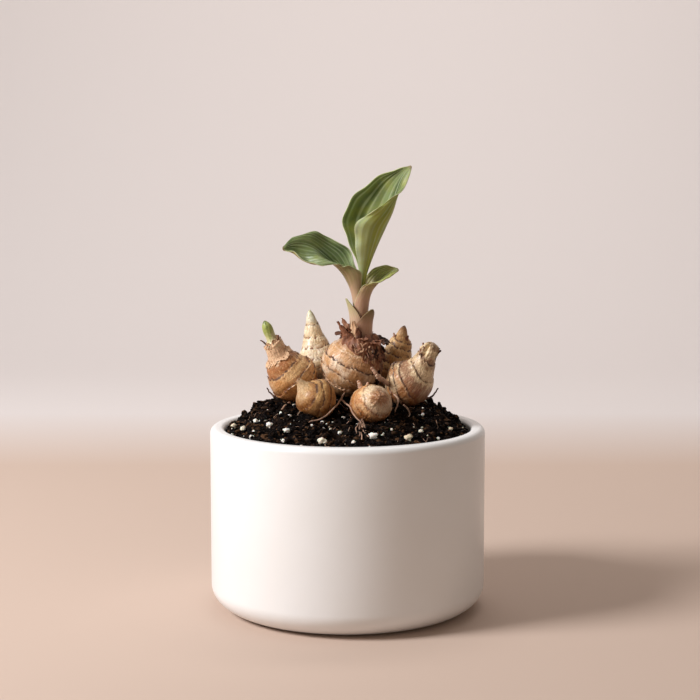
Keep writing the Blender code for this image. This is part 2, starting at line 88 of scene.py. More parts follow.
def growMany(layers, count, growOne):  # many small bodies, a few dozen at a time, which is far quicker
    bm = bmesh.new()
    for layer in layers:
        getattr(bm.verts.layers, layer[0]).new(layer[1])
    batch = 40
    for start in range(0, count, batch):
        few = bmesh.new()
        for layer in layers:
            getattr(few.verts.layers, layer[0]).new(layer[1])
        for number in range(start, min(start + batch, count)):
            growOne(few, number)
        part = bpy.data.meshes.new("part")
        few.to_mesh(part)
        few.free()
        bm.from_mesh(part)
        bpy.data.meshes.remove(part)
    return bm


def smoothBetween(stations, share):  # the values at this share, on a curve through the stations
    last = len(stations) - 1
    index = max(i for i, station in enumerate(stations) if station[0] <= share or i == 0)
    index = min(index, last - 1)
    before, low, high, after = (stations[min(max(index + k, 0), last)] for k in (-1, 0, 1, 2))
    span = high[0] - low[0]
    part = min(max((share - low[0]) / span, 0), 1)
    values = []
    for k in range(1, len(low)):
        start = (high[k] - before[k]) / max(high[0] - before[0], 1e-9) * span
        end = (after[k] - low[k]) / max(after[0] - low[0], 1e-9) * span
        values.append((2 * part**3 - 3 * part**2 + 1) * low[k] + (part**3 - 2 * part**2 + part) * start
                      + (3 * part**2 - 2 * part**3) * high[k] + (part**3 - part**2) * end)
    return values


def curveThrough(points, share):  # a point on the smooth curve through evenly spaced points
    stations = [(i / (len(points) - 1), *point) for i, point in enumerate(points)]
    return Vector(smoothBetween(stations, share))


def ease(value, low, high):  # 0 below low, 1 above high, smooth between
    part = min(max((value - low) / (high - low), 0), 1)
    return part * part * (3 - 2 * part)


# The pot

pot = {
    "radius": 60, "height": 80, "wall": 6.3, "floor": 7,
    "footRound": (14, 11), "footRing": 5, "footRecess": 1.5,
    "lipOutside": 2.8, "lipInside": 2, "floorFillet": 7,
    "steps": 192, "arcSteps": 14,
    "glaze": "eff0f1", "glazeWarm": "e9e7e4", "roughness": (0.30, 0.40),
}


def arc(centre, radii, start, end):  # points of an elliptic arc, angles in degrees
    steps = pot["arcSteps"]
    turns = (math.radians(start + (end - start) * i / steps) for i in range(steps + 1))
    return [(centre[0] + radii[0] * math.cos(a), centre[1] + radii[1] * math.sin(a)) for a in turns]


def glazedStoneware():
    # Satin white glaze fired on stoneware: a soft broad gloss, with a slow waver and a faint warm tone
    # where the glaze lies thin.
    made, tree, shader = newMaterial("glazed stoneware", {"IOR": 1.5, "Coat Weight": 0.25,
                                                          "Coat Roughness": 0.22})
    place = addNode(tree, "TexCoord").outputs["Object"]
    cloud, waver, grain = (
        addNode(tree, "TexNoise", {"Vector": place, "Scale": 1 / (size * mm),
                                   "Detail": detail}).outputs["Fac"]
        for size, detail in ((35, 3), (12, 2), (1.1, 2)))
    tone = addNode(tree, "Mix", {0: cloud, 6: srgb(pot["glaze"]), 7: srgb(pot["glazeWarm"])},
                   data_type="RGBA").outputs[2]
    tree.links.new(tone, shader.inputs["Base Color"])
    smooth, dull = pot["roughness"]
    rough = addNode(tree, "MapRange", {0: cloud, 1: 0.3, 2: 0.7, 3: smooth, 4: dull}).outputs[0]
    tree.links.new(rough, shader.inputs["Roughness"])
    slow = addNode(tree, "Bump", {"Height": waver, "Distance": 0.25 * mm, "Strength": 0.25}).outputs[0]
    fine = addNode(tree, "Bump", {"Height": grain, "Distance": 0.02 * mm, "Strength": 0.2,
                                  "Normal": slow})
    tree.links.new(fine.outputs[0], shader.inputs["Normal"])
    return made


def makePot():
    inner = pot["radius"] - pot["wall"]
    out, up = pot["footRound"]
    flat = pot["radius"] - out
    recess = flat - pot["footRing"]
    outline = [(0, pot["footRecess"]), (recess - pot["footRecess"], pot["footRecess"]), (recess, 0)]
    outline += arc((flat, up), (out, up), -90, 0)
    lip = pot["lipOutside"]
    outline += arc((pot["radius"] - lip, pot["height"] - lip), (lip, lip), 0, 90)
    lip = pot["lipInside"]
    outline += arc((inner + lip, pot["height"] - lip), (lip, lip), 90, 180)
    fillet = pot["floorFillet"]
    outline += arc((inner - fillet, pot["floor"] + fillet), (fillet, fillet), 0, -90)
    outline += [(0, pot["floor"])]
    bm = bmesh.new()
    row = [bm.verts.new((radius * mm, 0, height * mm)) for radius, height in outline]
    edges = [bm.edges.new(pair) for pair in zip(row, row[1:])]
    bmesh.ops.spin(bm, geom=row + edges, axis=(0, 0, 1), cent=(0, 0, 0), steps=pot["steps"],
                   angle=2 * math.pi, use_merge=True)
    bmesh.ops.remove_doubles(bm, verts=bm.verts, dist=1e-6)
    bmesh.ops.recalc_face_normals(bm, faces=bm.faces)
    finishPiece("pot_glazed", bm, [glazedStoneware()], ["pot"])


# The soil

soil = {
    "edgeHeight": 77, "mound": 15.5, "centreY": 8, "bank": 0.40, "frontFall": 0.006,
    "hollow": (-2, -26, 3.6, 14),  # a dip in front: x, y, depth and width
    "clod": (8, 2.4), "gap": 0.3, "cells": 250,
    "lumps": ((3.4, 1.3), (1.5, 0.7), (0.7, 0.35)),  # size and relief of each
    "sides": ((14, 1), (7.3, 0.87)),  # height and width of the sides, down to the pot's floor
    "dark": "090606", "mid": "1f140d", "light": "583e2a",
}


def soilHeight(x, y):  # the mound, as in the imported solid
    wall = pot["radius"] - pot["wall"]
    out = Vector((x, y - soil["centreY"]))
    across = out.normalized().y * soil["centreY"]
    reach = -across + math.sqrt(max(across**2 + wall**2 - soil["centreY"]**2, 0))
    inside = max(1 - out.length / reach, 0)
    bank = inside / soil["bank"]
    rise = soil["mound"] * bank / (1 + bank**4) ** 0.25 * (1 + soil["frontFall"] * min(y, 0))
    hollowX, hollowY, depth, width = soil["hollow"]
    rise -= depth * math.exp(-((x - hollowX)**2 + (y - hollowY)**2) / (2 * width**2))
    size, relief = soil["clod"]
    spot = Vector((x, y, 2.5)) / size
    clods = noise.noise(spot) + 0.5 * noise.noise(spot * 2.1)
    return soil["edgeHeight"] + rise + relief * clods * min(1, 8 * inside)


def lumpySoilHeight(x, y):  # with the crumbs' own relief
    wall = pot["radius"] - pot["wall"]
    edge = ease(wall - math.hypot(x, y), 0, 3)
    height = soilHeight(x, y)
    for size, relief in soil["lumps"]:
        height += relief * noise.noise(Vector((x, y, 7)) / size) * (0.4 + 0.6 * edge)
    return height


def pottingMix():
    # Damp peat and composted bark: nearly black, dull, with brown flecks of bark and small glints of
    # water on the crumbs.
    made, tree, shader = newMaterial("potting mix", {"IOR": 1.4})
    place = addNode(tree, "TexCoord").outputs["Object"]
    tone = addNode(tree, "Attribute", attribute_name="tone").outputs["Fac"]
    clump, grit = (
        addNode(tree, "TexNoise", {"Vector": place, "Scale": 1 / (size * mm), "Detail": detail,
                                   "Roughness": rough}).outputs["Fac"]
        for size, detail, rough in ((4, 5, 0.6), (0.5, 3, 0.5)))
    fleck = addNode(tree, "TexVoronoi", {"Vector": place, "Scale": 1 / (1.3 * mm)}).outputs["Color"]
    fleckTone = addNode(tree, "SeparateColor", {0: fleck}).outputs[0]
    base = srgb(soil["dark"])
    for value, low, high, most, tint in ((clump, 0.45, 0.75, 1, soil["mid"]),
                                         (fleckTone, 0.86, 0.97, 1, soil["light"]),
                                         (tone, 0.3, 1, 0.65, soil["light"])):
        share = addNode(tree, "MapRange", {0: value, 1: low, 2: high, 3: 0, 4: most}).outputs[0]
        base = addNode(tree, "Mix", {0: share, 6: base, 7: srgb(tint)}, data_type="RGBA").outputs[2]
    tree.links.new(base, shader.inputs["Base Color"])
    wet = addNode(tree, "MapRange", {0: grit, 1: 0.58, 2: 0.68}).outputs[0]
    for socket, dry, damp in (("Roughness", 0.95, 0.4), ("Specular IOR Level", 0.08, 0.6)):
        shine = addNode(tree, "MapRange", {0: wet, 1: 0, 2: 1, 3: dry, 4: damp}).outputs[0]
        tree.links.new(shine, shader.inputs[socket])
    coarse = addNode(tree, "Bump", {"Height": clump, "Distance": 0.9 * mm, "Strength": 0.8}).outputs[0]
    fine = addNode(tree, "Bump", {"Height": grit, "Distance": 0.3 * mm, "Strength": 0.9,
                                  "Normal": coarse})
    tree.links.new(fine.outputs[0], shader.inputs["Normal"])
    return made


def makeSoil(material):
    bm = bmesh.new()
    tone = bm.verts.layers.float.new("tone")
    bmesh.ops.create_grid(bm, x_segments=soil["cells"], y_segments=soil["cells"], size=1)
    edge = pot["radius"] - pot["wall"] - soil["gap"]
    for vert in bm.verts:
        x = edge * vert.co.x * math.sqrt(1 - vert.co.y**2 / 2)
        y = edge * vert.co.y * math.sqrt(1 - vert.co.x**2 / 2)
        vert.co = Vector((x, y, lumpySoilHeight(x, y))) * mm
        vert[tone] = 0.1
    for height, shrink in soil["sides"]:
        rim = [e for e in bm.edges if e.is_boundary]
        made = bmesh.ops.extrude_edge_only(bm, edges=rim)["geom"]
        for vert in (g for g in made if isinstance(g, bmesh.types.BMVert)):
            vert.co = Vector((vert.co.x * shrink, vert.co.y * shrink, height * mm))
    bmesh.ops.holes_fill(bm, edges=[e for e in bm.edges if e.is_boundary], sides=0)
    bmesh.ops.recalc_face_normals(bm, faces=bm.faces)
    finishPiece("soil_bed", bm, [material], ["soil"], sharp=80)


# What lies in the soil: crumbs, bark, perlite and fibres. The larger grains of perlite have their
# places (x, y), size and tone listed; the rest are drawn at random.

litter = {
    "crumbs": 4200, "crumbSizes": (0.22, 0.95), "clods": 420, "clodSizes": (0.7, 1.9),
    "bark": 320, "barkSizes": (0.8, 2.4), "perlite": 150, "perliteSizes": (0.28, 0.62),
    "fibres": 70, "fibreLengths": (2, 5.5), "fibreThickness": (0.12, 0.24), "fibreTip": 0.08,
    "lumpiness": 1.6, "crumbLift": (-0.1, 0.45), "crumbShape": ((0.8, 1.3), (0.6, 1), (0.5, 0.9)),
    "crumbRough": 0.75, "crumbShade": 0.35, "barkLift": 0.2, "barkShape": ((0.25, 0.5), (0.12, 0.3)),
    "barkRough": 0.5, "grainShape": (1.1, 0.9, 0.85), "perliteLong": (0.9, 1.5),
    "white": "f2efe6", "cream": "d9c7a4", "stain": "8d7a64",
    "grains": (
        (-39.2, -17.4, 1.1, 0), (-32.8, -26.3, 1.3, 0), (-44.5, -19.3, 1.25, 0.5),
        (-49.1, -9.6, 1.3, 0.7), (-40.2, -28.4, 1.0, 0.1), (-39.7, -23.9, 0.7, 0),
        (-25.5, -32.1, 1.35, 0), (-26.4, -39.6, 1.0, 0.2), (-23.1, -6.2, 0.9, 0.3),
        (-28.5, -16.4, 0.7, 0), (-24.5, -23.8, 0.8, 0), (-31.3, 4.0, 1.2, 0.8),
        (-14.9, -30.7, 0.6, 0), (-10.6, -23.6, 0.7, 0), (-10.1, -30.6, 0.6, 0), (-3.1, -37.0, 0.9, 0),
        (-1.7, -22.7, 0.9, 0), (-10.4, -44.8, 1.7, 0.5), (3.9, -28.0, 0.6, 0), (8.9, -29.5, 0.6, 0.2),
        (10.7, -40.7, 1.8, 0), (25.5, -37.5, 1.9, 0.9), (14.8, -36.8, 0.6, 0), (33.7, 9.5, 1.4, 0.1),
        (30.7, -31.1, 0.9, 0.4), (32.1, -17.2, 0.8, 0), (18.4, -35.2, 0.6, 0.3),
        (43.8, -17.7, 1.1, 0.9), (-50.0, -2.0, 0.9, 0.1), (-20.5, -37.0, 0.6, 0),
        (2.5, -46.5, 0.9, 0.3), (38.0, -30.0, 0.7, 0), (-30.0, 25.0, 1.1, 0.2), (-12.0, 38.0, 1.2, 0),
        (8.0, 36.0, 0.9, 0.3), (24.0, 30.0, 1.2, 0.1), (38.0, 18.0, 1.0, 0.6), (-42.0, 14.0, 1.0, 0),
        (0.0, 46.0, 1.0, 0.5), (-20.0, 31.0, 0.8, 0.2),
    ),
}


def expandedPerlite():
    # Perlite: volcanic glass blown up by heat into chalky white, pitted grains, some of them stained by
    # the soil.
    made, tree, shader = newMaterial("expanded perlite", {"IOR": 1.45, "Roughness": 0.85,
                                                          "Subsurface Weight": 0.15,
                                                          "Subsurface Scale": 0.6 * mm})
    place = addNode(tree, "TexCoord").outputs["Object"]
    tone = addNode(tree, "Attribute", attribute_name="tone").outputs["Fac"]
    pit = addNode(tree, "TexVoronoi", {"Vector": place, "Scale": 1 / (0.4 * mm)}).outputs["Distance"]
    stain = addNode(tree, "TexNoise", {"Vector": place, "Scale": 1 / (0.9 * mm), "Detail": 3})
    stain = stain.outputs["Fac"]
    dirty = addNode(tree, "MapRange", {0: stain, 1: 0.55, 2: 0.75, 3: 0, 4: 0.7}).outputs[0]
    base = srgb(litter["white"])
    for share, tint in ((tone, litter["cream"]), (dirty, litter["stain"])):
        base = addNode(tree, "Mix", {0: share, 6: base, 7: srgb(tint)}, data_type="RGBA").outputs[2]
    tree.links.new(base, shader.inputs["Base Color"])
    bump = addNode(tree, "Bump", {"Height": pit, "Distance": 0.2 * mm, "Strength": 0.7}).outputs[0]
    tree.links.new(bump, shader.inputs["Normal"])
    return made


def growGrain(bm, place, size, shape, rough, shade, seed, detail):  # one lumpy grain of a few faces
    draw = random.Random(seed)
    spin, lean = draw.uniform(0, 6.28), draw.uniform(-0.5, 0.5)
    turn = Matrix.Rotation(spin, 3, "Z") @ Matrix.Rotation(lean, 3, "X")
    tone = bm.verts.layers.float["tone"]
    if detail == 2:  # a clod has a few more faces than a crumb
        made = bmesh.ops.create_uvsphere(bm, u_segments=7, v_segments=5, radius=1)["verts"]
    else:
        made = bmesh.ops.create_icosphere(bm, subdivisions=detail, radius=1)["verts"]
    for vert in made:
        lump = 1 + rough * noise.noise(vert.co * litter["lumpiness"] + Vector((seed * 3.7, 0, 0)))
        stretched = Vector([c * s for c, s in zip(vert.co * lump, shape)])
        vert.co = (Vector(place) + turn @ (stretched * size)) * mm
        vert[tone] = shade


def soilSpot(draw, margin):  # a random place on the soil, at least margin from the pot's wall
    reach = pot["radius"] - pot["wall"] - margin
    turn, distance = draw.uniform(0, 2 * math.pi), reach * math.sqrt(draw.random())
    return distance * math.cos(turn), distance * math.sin(turn)


def makeLitter(material):
    draw = random.Random(11)
    crumbs = []
    for count, sizes, detail in ((litter["crumbs"], litter["crumbSizes"], 1),
                                 (litter["clods"], litter["clodSizes"], 2)):
        for _ in range(count):
            size = draw.uniform(*sizes)
            x, y = soilSpot(draw, 0.6 + size)
            place = (x, y, lumpySoilHeight(x, y) + size * draw.uniform(*litter["crumbLift"]))
            shape = tuple(draw.uniform(*sides) for sides in litter["crumbShape"])
            shade = draw.uniform(0, litter["crumbShade"]) ** 1.3
            crumbs.append((place, size, shape, litter["crumbRough"], shade, len(crumbs), detail))
    for _ in range(litter["bark"]):
        size = draw.uniform(*litter["barkSizes"])
        x, y = soilSpot(draw, size + 1)
        place = (x, y, lumpySoilHeight(x, y) + litter["barkLift"] * size)
        shape = (1, *(draw.uniform(*sides) for sides in litter["barkShape"]))
        crumbs.append((place, size, shape, litter["barkRough"], draw.uniform(0.3, 1), len(crumbs), 1))
    bm = growMany([("float", "tone")], len(crumbs), lambda few, i: growGrain(few, *crumbs[i]))
    finishPiece("soil_crumbs", bm, [material], sharp=80)
    grains = []
    firstSeed = 9000
    for x, y, size, shade in litter["grains"]:
        place = (x, y, lumpySoilHeight(x, y) + 0.45 * size)
        grains.append((place, size, litter["grainShape"], 0.45, shade, firstSeed + len(grains), 3))
    for _ in range(litter["perlite"]):
        size = draw.uniform(*litter["perliteSizes"])
        x, y = soilSpot(draw, size + 1)
        place = (x, y, lumpySoilHeight(x, y) + 0.5 * size)
        shape = (draw.uniform(*litter["perliteLong"]), 0.85, 0.75)
        shade = draw.uniform(0, 1) ** 2
        grains.append((place, size, shape, 0.5, shade, firstSeed + len(grains), 1))
    bm = growMany([("float", "tone")], len(grains), lambda few, i: growGrain(few, *grains[i]))
    finishPiece("perlite_grains", bm, [expandedPerlite()], sharp=80)


# The tubers. Each one: its axis from the buried end to the bud, the radius along it, the leaf scars and
# how dark their lines are, how much of each end is rounded, how far the scars tilt towards turn 0 and
# turn 90, its colours (light, middle, dark, scar), how streaky it is, and the zones along it with a
# colour of their own: colour, from, to, strength. A zone of strength 1 hides the streaks, and the others
# lie under them. Some also have: step, how strongly the skin steps at a scar; gaps, how much of the scar
# lines is missing; and knob, where a knobby end starts and how rough it is.

skin = {
    "sides": 140, "rows": 150, "endCrowding": 0.62,
    "ringStep": 0.55, "rim": 0.12, "rimWidth": 0.35, "swell": 0.22,  # the step and rim at each scar
    "waver": 1.2, "tooth": 0.9, "toothStep": 2.1, "toothWidth": 0.32,  # how the scars run
    "ridge": 0.30, "ridgeShape": (0.9, 0.9, 0.11), "fineRidge": (2.3, 0.6),
    "dent": 0.5, "dentSize": 5.5, "thinBelow": 5, "knobEase": 0.05, "knobRibs": (2.4, 2.2),
    "warts": 7, "wartRise": 0.22, "wartSizes": (0.4, 0.8), "wartShares": (0.15, 0.7),
}
tubers = {
    "mother": {
        "axis": ((-5.0, 4.0, 93.5), (2.6, 0.6, 106.0), (6.2, -0.2, 119.5)),
        "radii": ((0, 5.0), (0.12, 7.2), (0.26, 10.8), (0.42, 12.6), (0.58, 12.4), (0.74, 10.6),
                  (0.88, 8.2), (1, 6.6)),
        "rings": (0.22, 0.37, 0.56, 0.76), "marks": (0.8, 0.5, 0.9, 0.0), "ends": (0.10, 0.05),
        "tilt": (0, 0), "colours": ("f4dabb", "d8a673", "87501f", "3a200e"), "streaks": 0.4,
        "zones": (("7c4c30", 0.74, 0.90, 0.7),),
    },
    "left_large": {
        "axis": ((-16.0, 4.5, 94.5), (-26.6, -1.0, 99.2), (-36.0, -3.0, 126.2)),
        "radii": ((0, 5.0), (0.12, 7.8), (0.26, 10.0), (0.42, 10.4), (0.58, 7.8), (0.70, 4.7),
                  (0.80, 3.6), (0.84, 2.3), (0.94, 2.0), (1, 1.2)),
        "rings": (0.13, 0.26, 0.41, 0.56, 0.67, 0.81), "marks": (0.8, 0.9, 0.9, 0.9, 0.9, 0.5),
        "ends": (0.10, 0.05), "tilt": (0, -0.24),
        "colours": ("f4ca90", "d69c5e", "8f5122", "40220e"), "streaks": 0.4,
        "zones": (("9c5722", 0.53, 0.60, 0.75), ("ecc8a2", 0.66, 0.69, 0.85), ("d6cf9f", 0.80, 0.82, 1),
                  ("a3ad5a", 0.86, 0.92, 1), ("66743a", 0.965, 0.995, 1)),
    },
    "right_large": {
        "axis": ((17.5, 1.0, 96.5), (28.5, -5.0, 94.5), (36.6, -8.5, 117.2)),
        "radii": ((0, 4.6), (0.12, 7.6), (0.28, 10.0), (0.44, 10.4), (0.60, 8.6), (0.74, 5.6),
                  (0.84, 4.1), (0.93, 3.3), (1, 2.8)),
        "rings": (0.13, 0.25, 0.38, 0.51, 0.70, 0.84), "marks": (0.8, 0.8, 0.8, 0.8, 0.7, 1),
        "ends": (0.10, 0.04), "step": 0.7, "tilt": (0, -0.34), "knob": (0.84, 0.8),
        "colours": ("f7dcb0", "c88c55", "733c18", "3f220f"), "streaks": 0.45,
        "zones": (("84441b", 0.50, 0.58, 0.7), ("f3d7ab", 0.66, 0.70, 0.85),
                  ("84552f", 0.79, 0.83, 0.7), ("ecd3a8", 0.86, 0.89, 0.9),
                  ("7c5233", 0.975, 0.995, 0.7)),
    },
    "front_left": {
        "axis": ((-6.6, -13.8, 91.5), (-15.2, -19.0, 93.2), (-21.2, -22.2, 103.4)),
        "radii": ((0, 4.2), (0.14, 6.6), (0.32, 8.2), (0.50, 8.3), (0.66, 6.6), (0.78, 3.6),
                  (0.88, 1.9), (1, 0.9)),
        "rings": (0.30, 0.49, 0.66), "marks": (0.7, 0.8, 0.9), "ends": (0.12, 0.06), "step": 0.7,
        "tilt": (0, -0.36), "colours": ("e3b577", "ba8346", "80491c", "45250f"), "streaks": 0.35,
        "zones": (("e6c69a", 0.74, 0.86, 0.8), ("7a4c28", 0.94, 0.98, 0.8)),
    },
    "front_right": {
        "axis": ((8.0, -15.0, 90.8), (9.8, -23.8, 91.4), (13.6, -33.6, 97.5)),
        "radii": ((0, 4.8), (0.12, 6.8), (0.28, 8.2), (0.46, 8.4), (0.64, 7.7), (0.78, 5.8),
                  (0.90, 3.2), (1, 1.4)),
        "rings": (0.28, 0.50, 0.70), "marks": (0.5, 0.3, 0.4), "ends": (0.12, 0.10), "step": 0.5,
        "tilt": (0.2, 0.2), "colours": ("f3c893", "cf9054", "8b4b1e", "5c3012"), "streaks": 0.5,
        "zones": (("fae4bf", 0.70, 0.73, 0.8), ("96571f", 0.83, 0.91, 0.85)), "knob": (0.84, 0.5),
    },
    "back_left": {
        "axis": ((-10.5, 16.0, 90.0), (-13.2, 18.3, 105.0), (-17.0, 18.5, 129.0)),
        "radii": ((0, 4.8), (0.14, 7.4), (0.30, 8.7), (0.46, 8.4), (0.60, 6.9), (0.74, 4.7),
                  (0.86, 2.8), (0.94, 1.6), (1, 0.8)),
        "rings": (0.28, 0.41, 0.52, 0.63, 0.74, 0.86), "marks": (0.8, 0.8, 0.8, 0.8, 0.8, 0.7),
        "ends": (0.10, 0.05), "tilt": (0, 0.12), "step": 0.3, "streaks": 0.3, "gaps": 0.04,
        "colours": ("fff3da", "f2dbb2", "a06a32", "6e4420"),
        "zones": (("e9e6cc", 0.86, 0.90, 0.9), ("c3cc92", 0.96, 1.0, 0.5)),
    },
    "back_right": {
        "axis": ((19.0, 16.0, 89.5), (21.2, 18.0, 106.0), (25.4, 18.0, 122.0)),
        "radii": ((0, 4.4), (0.16, 6.4), (0.34, 7.4), (0.50, 6.7), (0.66, 5.6), (0.79, 4.4),
                  (0.86, 2.6), (0.94, 1.5), (1, 0.7)),
        "rings": (0.26, 0.38, 0.49, 0.60, 0.71, 0.80), "marks": (1, 1, 1, 1, 1, 0.9),
        "ends": (0.10, 0.05), "tilt": (0, 0.25), "step": 0.4, "streaks": 0.4, "gaps": 0.03,
        "colours": ("f3cf98", "d3a062", "84501f", "4f2d14"),
        "zones": (("9b6b40", 0.84, 0.90, 0.6), ("51311c", 0.95, 1.0, 0.9)),
    },
}


def tuberAxis(shape, share):  # (point, direction) on an axis bent by one control point
    start, bend, end = (Vector(p) for p in shape["axis"])
    point = (1 - share) ** 2 * start + 2 * share * (1 - share) * bend + share**2 * end
    direction = 2 * (1 - share) * (bend - start) + 2 * share * (end - bend)
    return point, direction.normalized()


def tuberLength(shape):
    points = [tuberAxis(shape, i / 20)[0] for i in range(21)]
    return sum((b - a).length for a, b in zip(points, points[1:]))


def smoothRadius(shape, share):  # the plain radius, with rounded ends
    radius = smoothBetween(shape["radii"], share)[0]
    lowEnd, highEnd = shape["ends"]
    for end, distance in ((lowEnd, share), (highEnd, 1 - share)):
        if distance < end:
            radius *= math.sqrt(max(1 - (1 - distance / end) ** 2, 0))
    return radius


def tuberTilt(shape, turn):  # how far the scars are shifted on this side, in radii
    return shape["tilt"][0] * math.cos(turn) + shape["tilt"][1] * math.sin(turn)


def tuberFrame(shape):  # the tuber's length, and the side of its bend that turn 0 faces
    start, bend, end = (Vector(p) for p in shape["axis"])
    return tuberLength(shape), (bend - start).cross(end - bend).normalized()


def scarsAt(shape, turn, length, seed):  # the shares of the leaf scars here: they waver and have teeth
    spot = Vector((math.cos(turn), math.sin(turn), seed))
    shares = []
    for number, ring in enumerate(shape["rings"]):
        radius = smoothRadius(shape, ring)
        waver = noise.noise(spot * 1.5 + Vector((0, 0, 9 * number)))
        lift = skin["waver"] * waver * min(1, radius / 8)
        lift += radius * tuberTilt(shape, turn)
        teeth = round(2 * math.pi * radius / skin["toothStep"])
        tooth = turn * teeth / (2 * math.pi) + noise.noise(spot * 2.2 + Vector((7, 0, number)))
        strength = 0.4 + 2.0 * noise.noise(spot * 2.6 + Vector((0, 4, number)))
        peak = max(1 - abs(tooth % 1 - 0.5) / skin["toothWidth"], 0)
        lift += skin["tooth"] * max(strength, 0.1) * peak
        shares.append(ring + lift / length)
    return shares


def tuberSurface(shape, share, turn, frameSide, scars, warts, length):
    # The point on the skin, its place in the grain, the distance to the nearest scar (above it is
    # positive), how dark that scar is, the wart there, and the share of the tilted ring it lies on.
    centre, direction = tuberAxis(shape, share)
    across = direction.cross(frameSide)
    outward = math.cos(turn) * frameSide + math.sin(turn) * across
    radius = smoothRadius(shape, share)
    rings = (0, *scars, 1)
    softness = shape.get("step", 1)
    step, nearest, mark = 0, 99, 0
    for number, (low, high) in enumerate(zip(rings, rings[1:])):
        if low <= share < high:
            part = (share - low) / (high - low)
            step = skin["swell"] * math.sin(math.pi * part)
            if high < 1:
                nearest = (share - high) * length
                step += skin["ringStep"] * softness * part**2
                step += skin["rim"] * softness * math.exp(-((nearest / skin["rimWidth"]) ** 2))
                mark = shape["marks"][number]
            if low > 0 and (share - low) * length < abs(nearest):
                nearest = (share - low) * length
                mark = shape["marks"][number - 1]
    grain = Vector((radius * math.cos(turn), radius * math.sin(turn), share * length))
    fade = min(1, radius / skin["thinBelow"])
    stretched = Vector([c * s for c, s in zip(grain, skin["ridgeShape"])])
    finer, weaker = skin["fineRidge"]
    ridge = noise.noise(stretched) + weaker * noise.noise(stretched * finer)
    ridge *= skin["ridge"] * shape["streaks"] * fade
    dent = skin["dent"] * fade * noise.noise(grain / skin["dentSize"] + Vector(shape["axis"][0]))
    if "knob" in shape and share > shape["knob"][0]:  # a knobby, ribbed end
        knobStart, knobRise = shape["knob"]
        ribs, ribRise = skin["knobRibs"]
        rib = noise.noise(Vector((ribs * math.cos(turn), ribs * math.sin(turn), grain.z * 0.12)))
        part = ease(share, knobStart, knobStart + skin["knobEase"])
        ridge += part * knobRise * (ribRise * rib + noise.noise(grain * 0.8))
    wart = 0
    for place, size in warts:
        wart = max(wart, 1 - ((grain - place).length / size) ** 2)
    level = share - radius * tuberTilt(shape, turn) / length
    radius = max(radius + step + ridge + dent + skin["wartRise"] * wart, 0)
    return centre + radius * outward, grain, nearest, mark, wart, level


